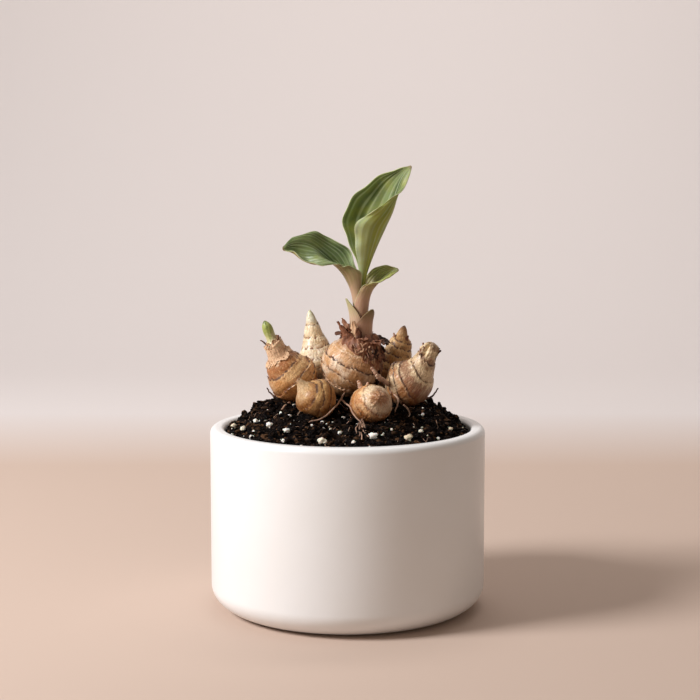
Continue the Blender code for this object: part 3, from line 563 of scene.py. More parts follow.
def tuberSkin(name):
    # Thin dry tuber skin with a slight waxy gloss: streaked along the tuber and finely wrinkled, with
    # painted shade in the wrinkles, a dark torn line at each leaf scar, painted shade above it where the
    # torn scale edge overhangs (partly the skin's own brown), a pale edge below, painted shade over the
    # lower part of the tuber, and dust from the soil at the foot. The pattern follows "grain", a place
    # on the skin in millimetres.
    shape = tubers[name]
    light, mid, dark, scar = (srgb(text) for text in shape["colours"])
    streaks, gaps = shape["streaks"], shape.get("gaps", 0)
    made, tree, shader = newMaterial("tuber skin " + name, {"IOR": 1.45, "Subsurface Weight": 0.06,
                                                            "Subsurface Radius": (1.0, 0.5, 0.25),
                                                            "Subsurface Scale": 1.2 * mm,
                                                            "Coat Weight": 0.35, "Coat Roughness": 0.26})
    grain = addNode(tree, "Attribute", attribute_name="grain").outputs["Vector"]
    gap, along, lift, wart, mark = (addNode(tree, "Attribute", attribute_name=key).outputs["Fac"]
                                    for key in ("gap", "along", "lift", "wart", "mark"))
    streakPlace = addNode(tree, "Mapping", {"Vector": grain, "Scale": (1.5, 1.5, 0.10)}).outputs[0]
    bandPlace = addNode(tree, "Mapping", {"Vector": grain, "Scale": (0.07, 0.07, 0.75)}).outputs[0]
    creasePlace = addNode(tree, "Mapping", {"Vector": grain, "Scale": (0.75, 0.75, 0.42)}).outputs[0]
    patch, streak, band, speck, blotch, dash = (
        addNode(tree, "TexNoise", {"Vector": place, "Scale": scale, "Detail": detail,
                                   "Roughness": rough, "Distortion": bend}).outputs["Fac"]
        for place, scale, detail, rough, bend in (
            (grain, 0.17, 4, 0.5, 0), (streakPlace, 1, 5, 0.62, 0), (bandPlace, 1, 4, 0.5, 0.4),
            (grain, 2.4, 4, 0.7, 0), (grain, 0.5, 4, 0.5, 0), (grain, 0.45, 2, 0.5, 0)))
    # The wrinkles: bumped into the skin, and darkened along their lines as painted shade in the creases.
    crease = addNode(tree, "TexVoronoi", {"Vector": creasePlace, "Scale": 1}, feature="DISTANCE_TO_EDGE")
    crease = addNode(tree, "MapRange", {0: crease.outputs["Distance"], 1: 0.0, 2: 0.14}).outputs[0]
    # The zones along the tuber, with wavy ends. A covering one has strength 1 and hides the streaks.
    uneven = addNode(tree, "Math", {0: blotch, 1: 0.20, 2: -0.10}, operation="MULTIPLY_ADD").outputs[0]
    reach = addNode(tree, "Math", {0: along, 1: uneven}, operation="ADD").outputs[0]
    zones, covering = [], []
    for zoneText, low, high, strength in shape["zones"]:
        zone = addNode(tree, "MapRange", {0: reach, 1: low, 2: high, 3: 0, 4: strength}).outputs[0]
        (covering if strength == 1 else zones).append((zone, srgb(zoneText)))
    # The scars: a ragged line that breaks off in places, with painted shade above it where the torn
    # scale edge overhangs (partly the skin's own brown), and the pale rim below.
    ragged = addNode(tree, "Math", {0: speck, 1: 0.3, 2: -0.15}, operation="MULTIPLY_ADD").outputs[0]
    edge = addNode(tree, "Math", {0: gap, 1: ragged}, operation="ADD").outputs[0]
    broken = addNode(tree, "MapRange", {0: dash, 1: 0.36 + gaps, 2: 0.52 + gaps, 3: 0 if gaps else 0.25,
                                        4: 0.95}).outputs[0]
    above = addNode(tree, "Math", {0: gap, 1: 0.0}, operation="GREATER_THAN").outputs[0]
    beltShade = addNode(tree, "MapRange", {0: edge, 1: 1.9, 2: 0.0, 3: 0, 4: 0.95}).outputs[0]
    rimIn = addNode(tree, "MapRange", {0: edge, 1: -0.9, 2: -0.35}).outputs[0]
    rim = addNode(tree, "MapRange", {0: edge, 1: 0.05, 2: -0.15}).outputs[0]
    away = addNode(tree, "Math", {0: edge, 1: 0.14}, operation="SUBTRACT").outputs[0]
    away = addNode(tree, "Math", {0: away}, operation="ABSOLUTE").outputs[0]
    width = addNode(tree, "MapRange", {0: dash, 1: 0.36, 2: 0.66, 3: 0.18, 4: 0.7}).outputs[0]
    line = addNode(tree, "MapRange", {0: away, 1: width, 2: 0.12}).outputs[0]
    for factor in (broken, above, mark):
        beltShade = addNode(tree, "Math", {0: beltShade, 1: factor}, operation="MULTIPLY").outputs[0]
    for factor in (rimIn, 0.28):
        rim = addNode(tree, "Math", {0: rim, 1: factor}, operation="MULTIPLY").outputs[0]
    for factor in (broken, mark):
        line = addNode(tree, "Math", {0: line, 1: factor}, operation="MULTIPLY").outputs[0]
    # Painted shade over the lower part of each tuber, deeper the nearer it lies to the soil (the damp
    # value), with a ragged upper edge; and dust from the soil at the foot.
    damp = addNode(tree, "Math", {0: blotch, 1: 8.0, 2: -4.0}, operation="MULTIPLY_ADD").outputs[0]
    damp = addNode(tree, "Math", {0: lift, 1: damp}, operation="ADD").outputs[0]
    dust = addNode(tree, "Math", {0: speck, 1: 5.0, 2: -2.5}, operation="MULTIPLY_ADD").outputs[0]
    dust = addNode(tree, "Math", {0: lift, 1: dust}, operation="ADD").outputs[0]
    lighter, darkBand, darkStreak, paleStreak, fleck, creaseShade, wartTone, lowShadeTone, dustTone = (
        addNode(tree, "MapRange", {0: value, 1: low, 2: high, 3: 0, 4: most}).outputs[0]
        for value, low, high, most in (
            (patch, 0.44, 0.60, 1), (band, 0.5, 0.72, 0.55), (streak, 0.47, 0.66, 0.9 * streaks),
            (streak, 0.46, 0.3, 0.9 * streaks), (speck, 0.6, 0.78, 0.5), (crease, 0.6, 0, 0.22),
            (wart, 0.2, 0.9, 0.7), (damp, 12.0, 1.5, 0.78), (dust, 2.2, 0.2, 0.85)))
    base = mid
    for share, tint in ((lighter, light), (darkBand, dark), *zones, (darkStreak, dark),
                        (paleStreak, light), (fleck, dark), (creaseShade, dark), *covering,
                        (beltShade, dark), (rim, light), (line, scar), (wartTone, dark),
                        (lowShadeTone, dark), (dustTone, srgb(soil["mid"]))):
        base = addNode(tree, "Mix", {0: share, 6: base, 7: tint}, data_type="RGBA").outputs[2]
    tree.links.new(base, shader.inputs["Base Color"])
    rough = addNode(tree, "MapRange", {0: patch, 1: 0.3, 2: 0.7, 3: 0.36, 4: 0.56}).outputs[0]
    tree.links.new(rough, shader.inputs["Roughness"])
    bump = None
    for height, depth, strength in ((crease, 0.12, 0.6), (streak, 0.6, 0.7 + 0.3 * streaks),
                                    (speck, 0.10, 0.5)):
        under = {"Normal": bump} if bump else {}
        bump = addNode(tree, "Bump", {"Height": height, "Distance": depth * mm, "Strength": strength,
                                      **under}).outputs[0]
    tree.links.new(bump, shader.inputs["Normal"])
    return made


def makeTuber(number, name):
    shape = tubers[name]
    length, frameSide = tuberFrame(shape)
    draw = random.Random(40 + number)
    warts = []
    for _ in range(skin["warts"]):
        turn, share = draw.uniform(0, 2 * math.pi), draw.uniform(*skin["wartShares"])
        radius = smoothRadius(shape, share)
        place = Vector((radius * math.cos(turn), radius * math.sin(turn), share * length))
        warts.append((place, draw.uniform(*skin["wartSizes"])))
    bm = bmesh.new()
    grainLayer = bm.verts.layers.float_vector.new("grain")
    gapLayer, alongLayer, liftLayer, wartLayer, markLayer = (
        bm.verts.layers.float.new(key) for key in ("gap", "along", "lift", "wart", "mark"))
    bmesh.ops.create_uvsphere(bm, u_segments=skin["sides"], v_segments=skin["rows"], radius=1)
    scarCache = {}
    for vert in bm.verts:
        even = 1 - math.acos(max(-1, min(1, vert.co.z))) / math.pi
        share = even - skin["endCrowding"] * math.sin(2 * math.pi * even) / (2 * math.pi)
        turn = math.atan2(vert.co.y, vert.co.x)
        column = round(turn * skin["sides"] / (2 * math.pi)) % skin["sides"]
        if column not in scarCache:
            scarCache[column] = scarsAt(shape, turn, length, number)
        point, grain, gap, mark, wart, level = tuberSurface(shape, share, turn, frameSide,
                                                            scarCache[column], warts, length)
        vert.co = point * mm
        vert[grainLayer] = grain + Vector((31 * number, 0, 0))  # so no two tubers share a pattern
        vert[gapLayer] = gap
        vert[alongLayer] = level
        vert[liftLayer] = point.z - soilHeight(point.x, point.y)
        vert[wartLayer] = wart
        vert[markLayer] = mark
    bmesh.ops.recalc_face_normals(bm, faces=bm.faces)
    finishPiece("tuber_" + name, bm, [tuberSkin(name)], ["rhizome_" + name], sharp=60)


# The shoot. A leaf is given by three lines from foot to tip: its midrib and its far and near margins.
# Its inner and outer faces have a dark, a middle and a pale colour, and glow is the sunlit tint. The
# sheath's colour gives way to green between two shares, and paleBloomAndSheen is how pale the lower face
# grows towards its near margin: partly its own silvery bloom, partly a painted sheen.

stemX = 5.4  # the shoot's axis
tipWidth = 2.8  # a blade narrower than this is hardly curled
leafBuild = {
    "cells": (54, 130), "thickness": 0.34, "pleat": 0.10, "pleats": 11, "veins": 44,
    "marginWave": 0.6, "waves": 46, "margin": "cdd3a8", "dryTip": "7d6547",
}
leaves = {
    "tall": {
        "midrib": ((6.85, 0, 117.3), (6.85, 0, 128.0), (7.1, 0, 138.0), (8.0, 0, 145.0),
                   (10.3, 0, 152.0), (13.3, 0, 159.3), (16.5, 0, 166.4), (19.5, 0.3, 173.2),
                   (21.6, 1.2, 180.4), (24.0, 0.6, 187.2), (27.4, -1.0, 192.6)),
        "far": ((4.0, 0.2, 117.3), (4.0, 0.2, 128.0), (4.2, 0.3, 138.0), (5.2, 0.9, 145.0),
                (3.7, 3.6, 152.4), (-0.2, 7.2, 161.0), (-1.9, 9.4, 170.2), (2.0, 9.0, 178.6),
                (9.2, 6.8, 185.2), (18.2, 3.4, 190.4), (27.2, -0.4, 192.9)),
        "near": ((4.0, -0.2, 117.3), (4.0, -0.2, 128.0), (4.2, -0.3, 138.0), (5.3, -0.9, 145.0),
                 (4.4, -3.2, 152.2), (3.3, -6.0, 160.4), (3.8, -8.2, 168.4), (10.4, -8.8, 173.2),
                 (18.4, -6.8, 178.6), (25.4, -3.4, 185.4), (27.5, -1.6, 192.3)),
        "inner": ("4f5e36", "83915a", "bcc6a2"), "outer": ("75833c", "b2b555", "b8c5a4"),
        "glow": "9c9a33", "sheath": ("85864f", 0.10, 0.30), "paleBloomAndSheen": 0.9,
    },
    "left": {
        "midrib": ((3.0, 0, 117.3), (3.0, 0, 125.0), (2.6, 0, 131.6), (1.7, 0, 137.6), (-0.2, 0, 142.8),
                   (-3.5, 0, 147.8), (-8.8, 0.8, 152.4), (-14.4, 1.4, 156.4), (-19.8, 1.2, 158.2),
                   (-24.4, 0.2, 158.4), (-28.1, -1.2, 157.0)),
        "far": ((7.8, 0.3, 117.3), (7.8, 0.3, 125.0), (7.0, 1.7, 131.6), (5.8, 2.2, 137.6),
                (4.8, 2.9, 143.6), (3.4, 4.0, 149.6), (-0.2, 5.4, 157.2), (-7.6, 5.8, 161.4),
                (-14.8, 5.0, 164.2), (-22.9, 2.6, 161.7), (-27.9, -0.5, 158.0)),
        "near": ((7.8, -0.3, 117.3), (7.8, -0.3, 125.0), (7.0, -1.7, 131.6), (5.9, -2.3, 137.6),
                 (6.0, -3.0, 143.6), (5.0, -3.7, 148.0), (-1.8, -6.0, 150.5), (-8.4, -6.9, 150.7),
                 (-15.9, -6.1, 151.2), (-22.3, -3.8, 155.4), (-27.6, -2.1, 156.5)),
        "inner": ("4d5d38", "778757", "afba96"), "outer": ("8d8450", "9d7f5a", "a8a07a"),
        "glow": "848c4c", "sheath": ("c2a084", 0.25, 0.52), "paleBloomAndSheen": 0.5,
    },
    "right": {
        "midrib": ((8.75, 0, 117.3), (8.75, 0, 126.0), (9.1, 0, 132.6), (10.3, 0, 138.0),
                   (12.6, 0.2, 141.6), (15.8, 0.4, 144.4), (19.0, 0.2, 146.6), (22.1, -0.6, 148.2)),
        "far": ((2.05, 0.4, 117.3), (2.05, 0.4, 126.0), (2.9, 2.7, 132.6), (4.7, 3.8, 138.0),
                (7.2, 4.4, 143.6), (11.2, 4.2, 148.2), (16.6, 2.6, 149.8), (21.8, -0.2, 148.7)),
        "near": ((2.05, -0.4, 117.3), (2.05, -0.4, 126.0), (2.8, -2.7, 132.6), (4.6, -3.8, 138.0),
                 (6.9, -4.4, 141.5), (13.6, -4.4, 143.0), (17.8, -3.0, 144.9), (21.7, -1.5, 147.5)),
        "inner": ("848d56", "a5a96e", "c6c8a2"), "outer": ("8a8450", "957a56", "a49a6c"),
        "glow": "a2a24c", "sheath": ("bf9a80", 0.35, 0.70), "paleBloomAndSheen": 0.5, "wave": 0.35,
    },
}
bractBuild = {"cells": (40, 48), "thickness": 0.4, "lines": "b0805f"}
bracts = {  # facing in degrees, and stations along it: share, height, lean, half angle that it wraps
    "left": {"radius": 4.3, "facing": 196, "tip": "a8a878", "body": "c6a98c",
             "stations": ((0, 117.3, 0, 100), (0.35, 123.5, 0, 92), (0.65, 129.0, 0.3, 66),
                          (0.86, 133.0, 1.2, 34), (1, 135.7, 2.0, 7))},
    "right": {"radius": 5.2, "facing": -42, "tip": "75683f", "body": "bf977d",
              "stations": ((0, 117.3, 0, 92), (0.35, 121.6, 0, 84), (0.65, 125.8, 0.3, 58),
                           (0.86, 129.0, 1.0, 30), (1, 131.2, 1.8, 6))},
}


def leafPoint(shape, across, along):  # across runs from -1 at the far margin to 1 at the near one
    rib, far, near = (curveThrough(shape[line], along) for line in ("midrib", "far", "near"))
    ahead = curveThrough(shape["midrib"], min(along + 0.01, 1))
    behind = curveThrough(shape["midrib"], max(along - 0.01, 0))
    inward = (far + near) / 2 - rib
    aside = (ahead - behind).cross(inward).normalized()
    aside *= math.copysign(1, (near - far).dot(aside) * across)
    chord = (near if across > 0 else far) - rib
    bend = chord.angle(aside)
    square = (chord - aside * chord.dot(aside)).normalized()
    curl = bend * min(1, chord.length / tipWidth)
    turn = bend - curl * (1 - abs(across))
    reach = chord.length * math.sin(curl * abs(across)) / math.sin(curl)
    return rib + reach * (math.cos(turn) * aside + math.sin(turn) * square)


def makeBlade(name, surface, cells, thickness, relief, inwardAt, material, replaces=()):
    # A closed thin blade from surface(across, along), with its veins and waves raised by relief. Its
    # "blade" value says where on the blade a spot is, and 0 or 1 for its outer or inner face.
    bm = bmesh.new()
    blade = bm.verts.layers.float_vector.new("blade")
    bmesh.ops.create_grid(bm, x_segments=cells[0], y_segments=cells[1], size=1)
    for vert in bm.verts:
        across, along = vert.co.x, (vert.co.y + 1) / 2
        vert[blade] = (across, along, 0)
        vert.co = surface(across, along) * mm
    bmesh.ops.recalc_face_normals(bm, faces=bm.faces)
    bm.normal_update()
    middle = min(bm.verts, key=lambda v: abs(v[blade][0]) + abs(v[blade][1] - 0.4))
    if middle.normal.dot(inwardAt) < 0:
        bmesh.ops.reverse_faces(bm, faces=bm.faces)
        bm.normal_update()
    moves = [(v, v.normal * relief(v[blade][0], v[blade][1]) * mm) for v in bm.verts]
    for vert, move in moves:
        vert.co += move
    bm.normal_update()
    outside = set(bm.verts)
    for vert in bm.verts:
        vert.co -= vert.normal * thickness * mm / 2
    bmesh.ops.solidify(bm, geom=bm.faces[:], thickness=-thickness * mm)
    for vert in bm.verts:
        if vert not in outside:
            across, along, _ = vert[blade]
            vert[blade] = (across, along, 1)
    bmesh.ops.recalc_face_normals(bm, faces=bm.faces)
    return finishPiece(name, bm, [material], replaces, sharp=70)


def leafTissue(name, shape):
    # A young ginger leaf: satin and a little translucent, striped along its parallel veins, dark on the
    # upper face, paler on the lower one and silvery towards its near margin (partly its own bloom,
    # partly painted sheen), with a pale margin and a bleached sheath. "blade" holds the place across (-1
    # to 1) and along (0 to 1), and 0 or 1 for the outer or the inner face.
    made, tree, shader = newMaterial("leaf tissue " + name, {"IOR": 1.42, "Roughness": 0.42,
                                                             "Subsurface Weight": 0.30,
                                                             "Subsurface Radius": (0.7, 1.0, 0.3),
                                                             "Subsurface Scale": 1.0 * mm})
    blade = addNode(tree, "Attribute", attribute_name="blade").outputs["Vector"]
    across, along, inside = addNode(tree, "SeparateXYZ", {0: blade}).outputs
    wide = addNode(tree, "Mapping", {"Vector": blade, "Scale": (4.2, 0.9, 1)}).outputs[0]
    fine = addNode(tree, "Mapping", {"Vector": blade, "Scale": (17, 1.6, 1)}).outputs[0]
    stripe = addNode(tree, "TexNoise", {"Vector": wide, "Scale": 1, "Detail": 2}).outputs["Fac"]
    vein = addNode(tree, "TexNoise", {"Vector": fine, "Scale": 1, "Detail": 3}).outputs["Fac"]
    place = addNode(tree, "TexCoord").outputs["Object"]
    mottle = addNode(tree, "TexNoise", {"Vector": place, "Scale": 1 / (8 * mm), "Detail": 2})
    mottle = mottle.outputs["Fac"]
    stripeTone = addNode(tree, "MapRange", {0: stripe, 1: 0.36, 2: 0.64}).outputs[0]
    # The parallel veins: a sine across the blade, bent a little by the stripes.
    bent = addNode(tree, "Math", {0: stripe, 1: 6.0}, operation="MULTIPLY").outputs[0]
    line = addNode(tree, "Math", {0: across, 1: leafBuild["veins"], 2: bent}, operation="MULTIPLY_ADD")
    line = addNode(tree, "Math", {0: line.outputs[0]}, operation="SINE").outputs[0]
    line = addNode(tree, "MapRange", {0: line, 1: 0.2, 2: 1.0}).outputs[0]
    veinTone = addNode(tree, "MapRange", {0: vein, 1: 0.36, 2: 0.62, 3: 0.05, 4: 0.62}).outputs[0]
    veinTone = addNode(tree, "Math", {0: line, 1: veinTone}, operation="MULTIPLY").outputs[0]
    # Partly the lower face's own silvery bloom, partly painted sheen: paler towards the near margin and
    # the lower part.
    paleBloomAndSheen = addNode(tree, "MapRange", {0: across, 1: 0.45, 2: 1.0, 3: 0, 4: shape["paleBloomAndSheen"]}).outputs[0]
    lower = addNode(tree, "MapRange", {0: along, 1: 0.74, 2: 0.54}).outputs[0]
    paleBloomAndSheen = addNode(tree, "Math", {0: paleBloomAndSheen, 1: lower}, operation="MULTIPLY").outputs[0]
    faces = []
    for key, coats in (("inner", (veinTone,)), ("outer", (paleBloomAndSheen, veinTone))):
        dark, mid, pale = (srgb(text) for text in shape[key])
        tone = addNode(tree, "Mix", {0: stripeTone, 6: dark, 7: mid}, data_type="RGBA").outputs[2]
        for coat in coats:
            tone = addNode(tree, "Mix", {0: coat, 6: tone, 7: pale}, data_type="RGBA").outputs[2]
        faces.append(tone)
    base = addNode(tree, "Mix", {0: inside, 6: faces[1], 7: faces[0]}, data_type="RGBA").outputs[2]
    sheathText, sheathLow, sheathHigh = shape["sheath"]
    soft = addNode(tree, "Math", {0: mottle, 1: 0.12, 2: -0.06}, operation="MULTIPLY_ADD").outputs[0]
    reach = addNode(tree, "Math", {0: along, 1: soft}, operation="ADD").outputs[0]
    margin = addNode(tree, "Math", {0: across}, operation="ABSOLUTE").outputs[0]
    for value, low, high, most, tint in (
            (mottle, 0.45, 0.7, 0.55, shape["glow"]), (reach, sheathHigh, sheathLow, 1, sheathText),
            (margin, 0.955, 0.99, 0.5, leafBuild["margin"]),
            (along, 0.975, 0.995, 0.8, leafBuild["dryTip"])):
        share = addNode(tree, "MapRange", {0: value, 1: low, 2: high, 3: 0, 4: most}).outputs[0]
        base = addNode(tree, "Mix", {0: share, 6: base, 7: srgb(tint)}, data_type="RGBA").outputs[2]
    tree.links.new(base, shader.inputs["Base Color"])
    ridge = addNode(tree, "Bump", {"Height": vein, "Distance": 0.25 * mm, "Strength": 0.5}).outputs[0]
    tree.links.new(ridge, shader.inputs["Normal"])
    return made


def sheathTissue(name, shape):
    # A bladeless sheath leaf: smooth, fleshy and waxy, with fine lines from foot to tip.
    made, tree, shader = newMaterial("sheath tissue " + name, {"IOR": 1.42, "Roughness": 0.45,
                                                               "Subsurface Weight": 0.12,
                                                               "Subsurface Radius": (1.0, 0.5, 0.3),
                                                               "Subsurface Scale": 0.6 * mm})
    blade = addNode(tree, "Attribute", attribute_name="blade").outputs["Vector"]
    parts = addNode(tree, "SeparateXYZ", {0: blade}).outputs
    fine = addNode(tree, "Mapping", {"Vector": blade, "Scale": (9, 0.9, 1)}).outputs[0]
    vein = addNode(tree, "TexNoise", {"Vector": fine, "Scale": 1, "Detail": 3}).outputs["Fac"]
    green = addNode(tree, "MapRange", {0: parts[1], 1: 0.55, 2: 0.95}).outputs[0]
    base = addNode(tree, "Mix", {0: green, 6: srgb(shape["body"]), 7: srgb(shape["tip"])},
                   data_type="RGBA").outputs[2]
    line = addNode(tree, "MapRange", {0: vein, 1: 0.5, 2: 0.7, 3: 0, 4: 0.45}).outputs[0]
    base = addNode(tree, "Mix", {0: line, 6: base, 7: srgb(bractBuild["lines"])},
                   data_type="RGBA").outputs[2]
    tree.links.new(base, shader.inputs["Base Color"])
    ridge = addNode(tree, "Bump", {"Height": vein, "Distance": 0.2 * mm, "Strength": 0.5}).outputs[0]
    tree.links.new(ridge, shader.inputs["Normal"])
    return made


def makeLeaf(name):
    shape = leaves[name]
    rib, far, near = (curveThrough(shape[line], 0.4) for line in ("midrib", "far", "near"))

    def relief(across, along):  # pleats along the veins, and a wavy margin, both fading out at the ends
        opened = ease(along, 0.3, 0.6) * (1 - ease(along, 0.9, 1))
        pleat = leafBuild["pleat"] * math.cos(across * math.pi * leafBuild["pleats"])
        wave = leafBuild["marginWave"] * shape.get("wave", 1) * abs(across) ** 4
        wave *= math.sin(along * leafBuild["waves"] + 3 * across)
        return opened * (pleat + wave)

    makeBlade("leaf_blade_" + name, lambda across, along: leafPoint(shape, across, along),
              leafBuild["cells"], leafBuild["thickness"], relief, (far + near) / 2 - rib,
              leafTissue(name, shape), ["leaf_" + name])


def makeBract(name):
    shape = bracts[name]

    def surface(across, along):
        height, lean, spread = smoothBetween(shape["stations"], along)
        turn = math.radians(shape["facing"] + spread * across)
        out = shape["radius"] + lean
        return Vector((stemX + out * math.cos(turn), out * math.sin(turn), height))

    turn = math.radians(shape["facing"])
    inward = -Vector((math.cos(turn), math.sin(turn), 0))
    makeBlade("bract_sheath_" + name, surface, bractBuild["cells"], bractBuild["thickness"],
              lambda across, along: 0, inward, sheathTissue(name, shape), ["bract_" + name])


# The dried husk round the middle tuber's neck. Its scales: the direction each one faces, how far from
# the stem it stands, its length and width, how its foot and tip lean in degrees, and how dark it is (the
# pale ones taper by taper, the others are blunt). The tangle: groups of small curled shreds, drawn at
# random. The mantle is the torn skin over the shoulder, which hangs lowest at one side: middle, spread
# and depth. The ruff closes round the shoot's foot, and its profile is (radius, height).

husk = {
    "thickness": 0.3, "sunk": 2.0, "crinkle": 0.9, "cells": (14, 26), "taper": 1.7, "blunt": 4.5,
    "pale": "dcb38c", "brown": "8e5a3e", "dark": "351e15",
    "scales": (
        (166, 6.8, 6.4, 3.6, -4, 24, 0.6), (182, 6.8, 8.0, 3.8, 0, 16, 0.45),
        (194, 8.2, 7.4, 3.6, 6, 24, 0.6), (207, 7.2, 8.2, 3.8, 0, 12, 0.5),
        (218, 8.4, 6.8, 3.6, 8, 26, 0.6), (230, 7.3, 5.6, 3.6, 2, 24, 0.6),
        (238, 7.8, 4.6, 3.2, 6, 34, 0.7), (248, 7.8, 9.2, 6.0, -4, 6, -0.05),
        (264, 7.6, 7.0, 3.0, 2, 20, 0.75), (282, 7.3, 4.6, 4.0, 20, 100, 0.5),
        (296, 7.6, 5.0, 4.2, 30, 120, 0.55), (312, 7.4, 5.8, 4.6, 36, 130, 0.6),
        (328, 7.2, 6.0, 5.0, 30, 130, 0.75), (344, 7.4, 6.0, 5.0, 30, 130, 0.9),
        (2, 7.2, 6.2, 5.2, 30, 130, 0.95), (22, 7.2, 6.0, 5.0, 30, 120, 0.9),
        (44, 7.2, 6.2, 4.8, 30, 120, 0.8), (68, 7.2, 6.0, 4.8, 20, 110, 0.7),
        (92, 7.2, 6.4, 4.8, 10, 80, 0.6), (118, 7.0, 6.8, 4.6, 10, 70, 0.6),
        (142, 7.0, 6.4, 4.2, 5, 50, 0.55),
    ),
    "tangle": (  # facing from and to, how many, shares, lengths, leans, droops and shades
        (-70, 100, 18, (0.80, 0.94), (3.5, 5.5), (70, 100), (140, 170), (0.35, 0.95)),
        (-110, -60, 5, (0.84, 0.94), (3.0, 4.0), (70, 100), (140, 160), (0.2, 0.6)),
        (90, 190, 8, (0.84, 0.96), (3.0, 4.5), (50, 80), (120, 150), (0.3, 0.8)),
        (-25, 40, 9, (0.60, 0.80), (5.0, 8.0), (140, 165), (175, 195), (0.75, 1.1)),
    ),
    "shred": {"widths": (2.4, 4.6), "sunk": 0.3, "cells": (8, 14), "thickness": 0.25, "crinkle": 0.8},
    "mantle": {"facing": (-80, 130), "shares": (0.66, 0.97), "hanging": (8, 30, 0.2), "torn": 0.07,
               "narrowing": 0.12, "stand": 0.75, "fold": 0.6, "flare": 0.5,
               "cells": (180, 30), "thickness": 0.22, "shade": 0.45, "fibres": 4},
    "ruff": {"profile": ((10.6, 111.8), (10.2, 115.2), (8.8, 118.0), (6.6, 120.0), (5.3, 118.0)),
             "fold": 1.2, "left": (2.6, 3.0), "shift": (1.0, -0.3, 0),
             "cells": (150, 26), "thickness": 0.25, "shade": 0.6, "fibres": 5},
}


def driedScale():
    # Dead leaf bases: brittle and fibrous, reddish brown to almost black, paler where they are thin.
    made, tree, shader = newMaterial("dried scale", {"IOR": 1.45, "Roughness": 0.62})
    blade = addNode(tree, "Attribute", attribute_name="blade").outputs["Vector"]
    tone = addNode(tree, "Attribute", attribute_name="tone").outputs["Fac"]
    fine = addNode(tree, "Mapping", {"Vector": blade, "Scale": (5, 0.8, 1)}).outputs[0]
    fibre = addNode(tree, "TexNoise", {"Vector": fine, "Scale": 1, "Detail": 4}).outputs["Fac"]
    place = addNode(tree, "TexCoord").outputs["Object"]
    blotch = addNode(tree, "TexNoise", {"Vector": place, "Scale": 1 / (2.2 * mm), "Detail": 3})
    blotch = blotch.outputs["Fac"]
    mixed = addNode(tree, "Math", {0: blotch, 1: 0.9, 2: -0.45}, operation="MULTIPLY_ADD").outputs[0]
    mixed = addNode(tree, "Math", {0: tone, 1: mixed}, operation="ADD").outputs[0]
    base = srgb(husk["pale"])
    for value, low, high, most, tint in ((mixed, 0.15, 0.5, 1, husk["brown"]),
                                         (mixed, 0.55, 0.95, 1, husk["dark"]),
                                         (fibre, 0.5, 0.7, 0.6, husk["dark"])):
        share = addNode(tree, "MapRange", {0: value, 1: low, 2: high, 3: 0, 4: most}).outputs[0]
        base = addNode(tree, "Mix", {0: share, 6: base, 7: srgb(tint)}, data_type="RGBA").outputs[2]
    tree.links.new(base, shader.inputs["Base Color"])
    ridge = addNode(tree, "Bump", {"Height": fibre, "Distance": 0.5 * mm, "Strength": 0.8}).outputs[0]
    tree.links.new(ridge, shader.inputs["Normal"])
    return made


def growBlade(bm, surface, cells, thickness, shade, spread=1):
    # Adds one closed thin blade to a bmesh of several. A wide one spreads the fibres over its width.
    blade = bm.verts.layers.float_vector["blade"]
    tone = bm.verts.layers.float["tone"]
    made = bmesh.ops.create_grid(bm, x_segments=cells[0], y_segments=cells[1], size=1)["verts"]
    for vert in made:
        across, along = vert.co.x, (vert.co.y + 1) / 2
        vert[blade] = (across * spread, along, 0)
        vert[tone] = shade
        vert.co = surface(across, along) * mm
    faces = list({face for vert in made for face in vert.link_faces})
    for face in faces:
        face.normal_update()
    for vert in made:
        vert.normal_update()
    back = bmesh.ops.extrude_face_region(bm, geom=faces, use_keep_orig=True)["geom"]
    for vert in (g for g in back if isinstance(g, bmesh.types.BMVert)):
        vert.co -= thickness * mm * vert.normal
    sides = {face for vert in made for face in vert.link_faces}
    sides.update(g for g in back if isinstance(g, bmesh.types.BMFace))
    bmesh.ops.recalc_face_normals(bm, faces=list(sides))


def growScale(bm, foot, out, up, size, lean, droop, shade, seed, cells, thickness, crinkle,
              point=husk["taper"]):
    # One dried scale that stands at foot, leans from lean to droop degrees and is crinkled. A low point
    # gives it a long taper, a high one a blunt end.
    length, width = size
    aside = up.cross(out).normalized()
    lean, droop = math.radians(lean), math.radians(droop)
    arm = length / (droop - lean)
    tipShare = 0.15  # of the width is left at the tip

    def surface(across, along):
        turn = lean + (droop - lean) * along
        away = arm * (math.cos(lean) - math.cos(turn))
        rise = arm * (math.sin(turn) - math.sin(lean))
        taper = (1 - along**point) ** 0.8 * (1 - tipShare) + tipShare
        cup = 0.22 * width * across**2 * taper**2
        fold = noise.noise(Vector((across * 1.6, along * 3.2, seed * 7)))
        fold += 0.5 * noise.noise(Vector((across * 3.5, along * 7, seed * 5)))
        away += crinkle * fold * (0.3 + along) - cup * math.cos(turn)
        rise += cup * math.sin(turn)
        ragged = 1 + 0.35 * noise.noise(Vector((along * 6, math.copysign(2, across), seed)))
        bent = 0.25 * width * noise.noise(Vector((along * 2.5, 3, seed)))
        return foot + out * away + up * rise + aside * (across * width * taper * ragged / 2 + bent)

    growBlade(bm, surface, cells, thickness, shade)


def tuberSpot(name, share, facing):  # a foot on a tuber's skin, with its outward and upward directions
    centre, direction = tuberAxis(tubers[name], share)
    way = Vector((math.cos(math.radians(facing)), math.sin(math.radians(facing)), 0))
    out = (way - direction * way.dot(direction)).normalized()
    return centre + out * smoothRadius(tubers[name], share), out, direction


scaleLayers = [("float_vector", "blade"), ("float", "tone")]


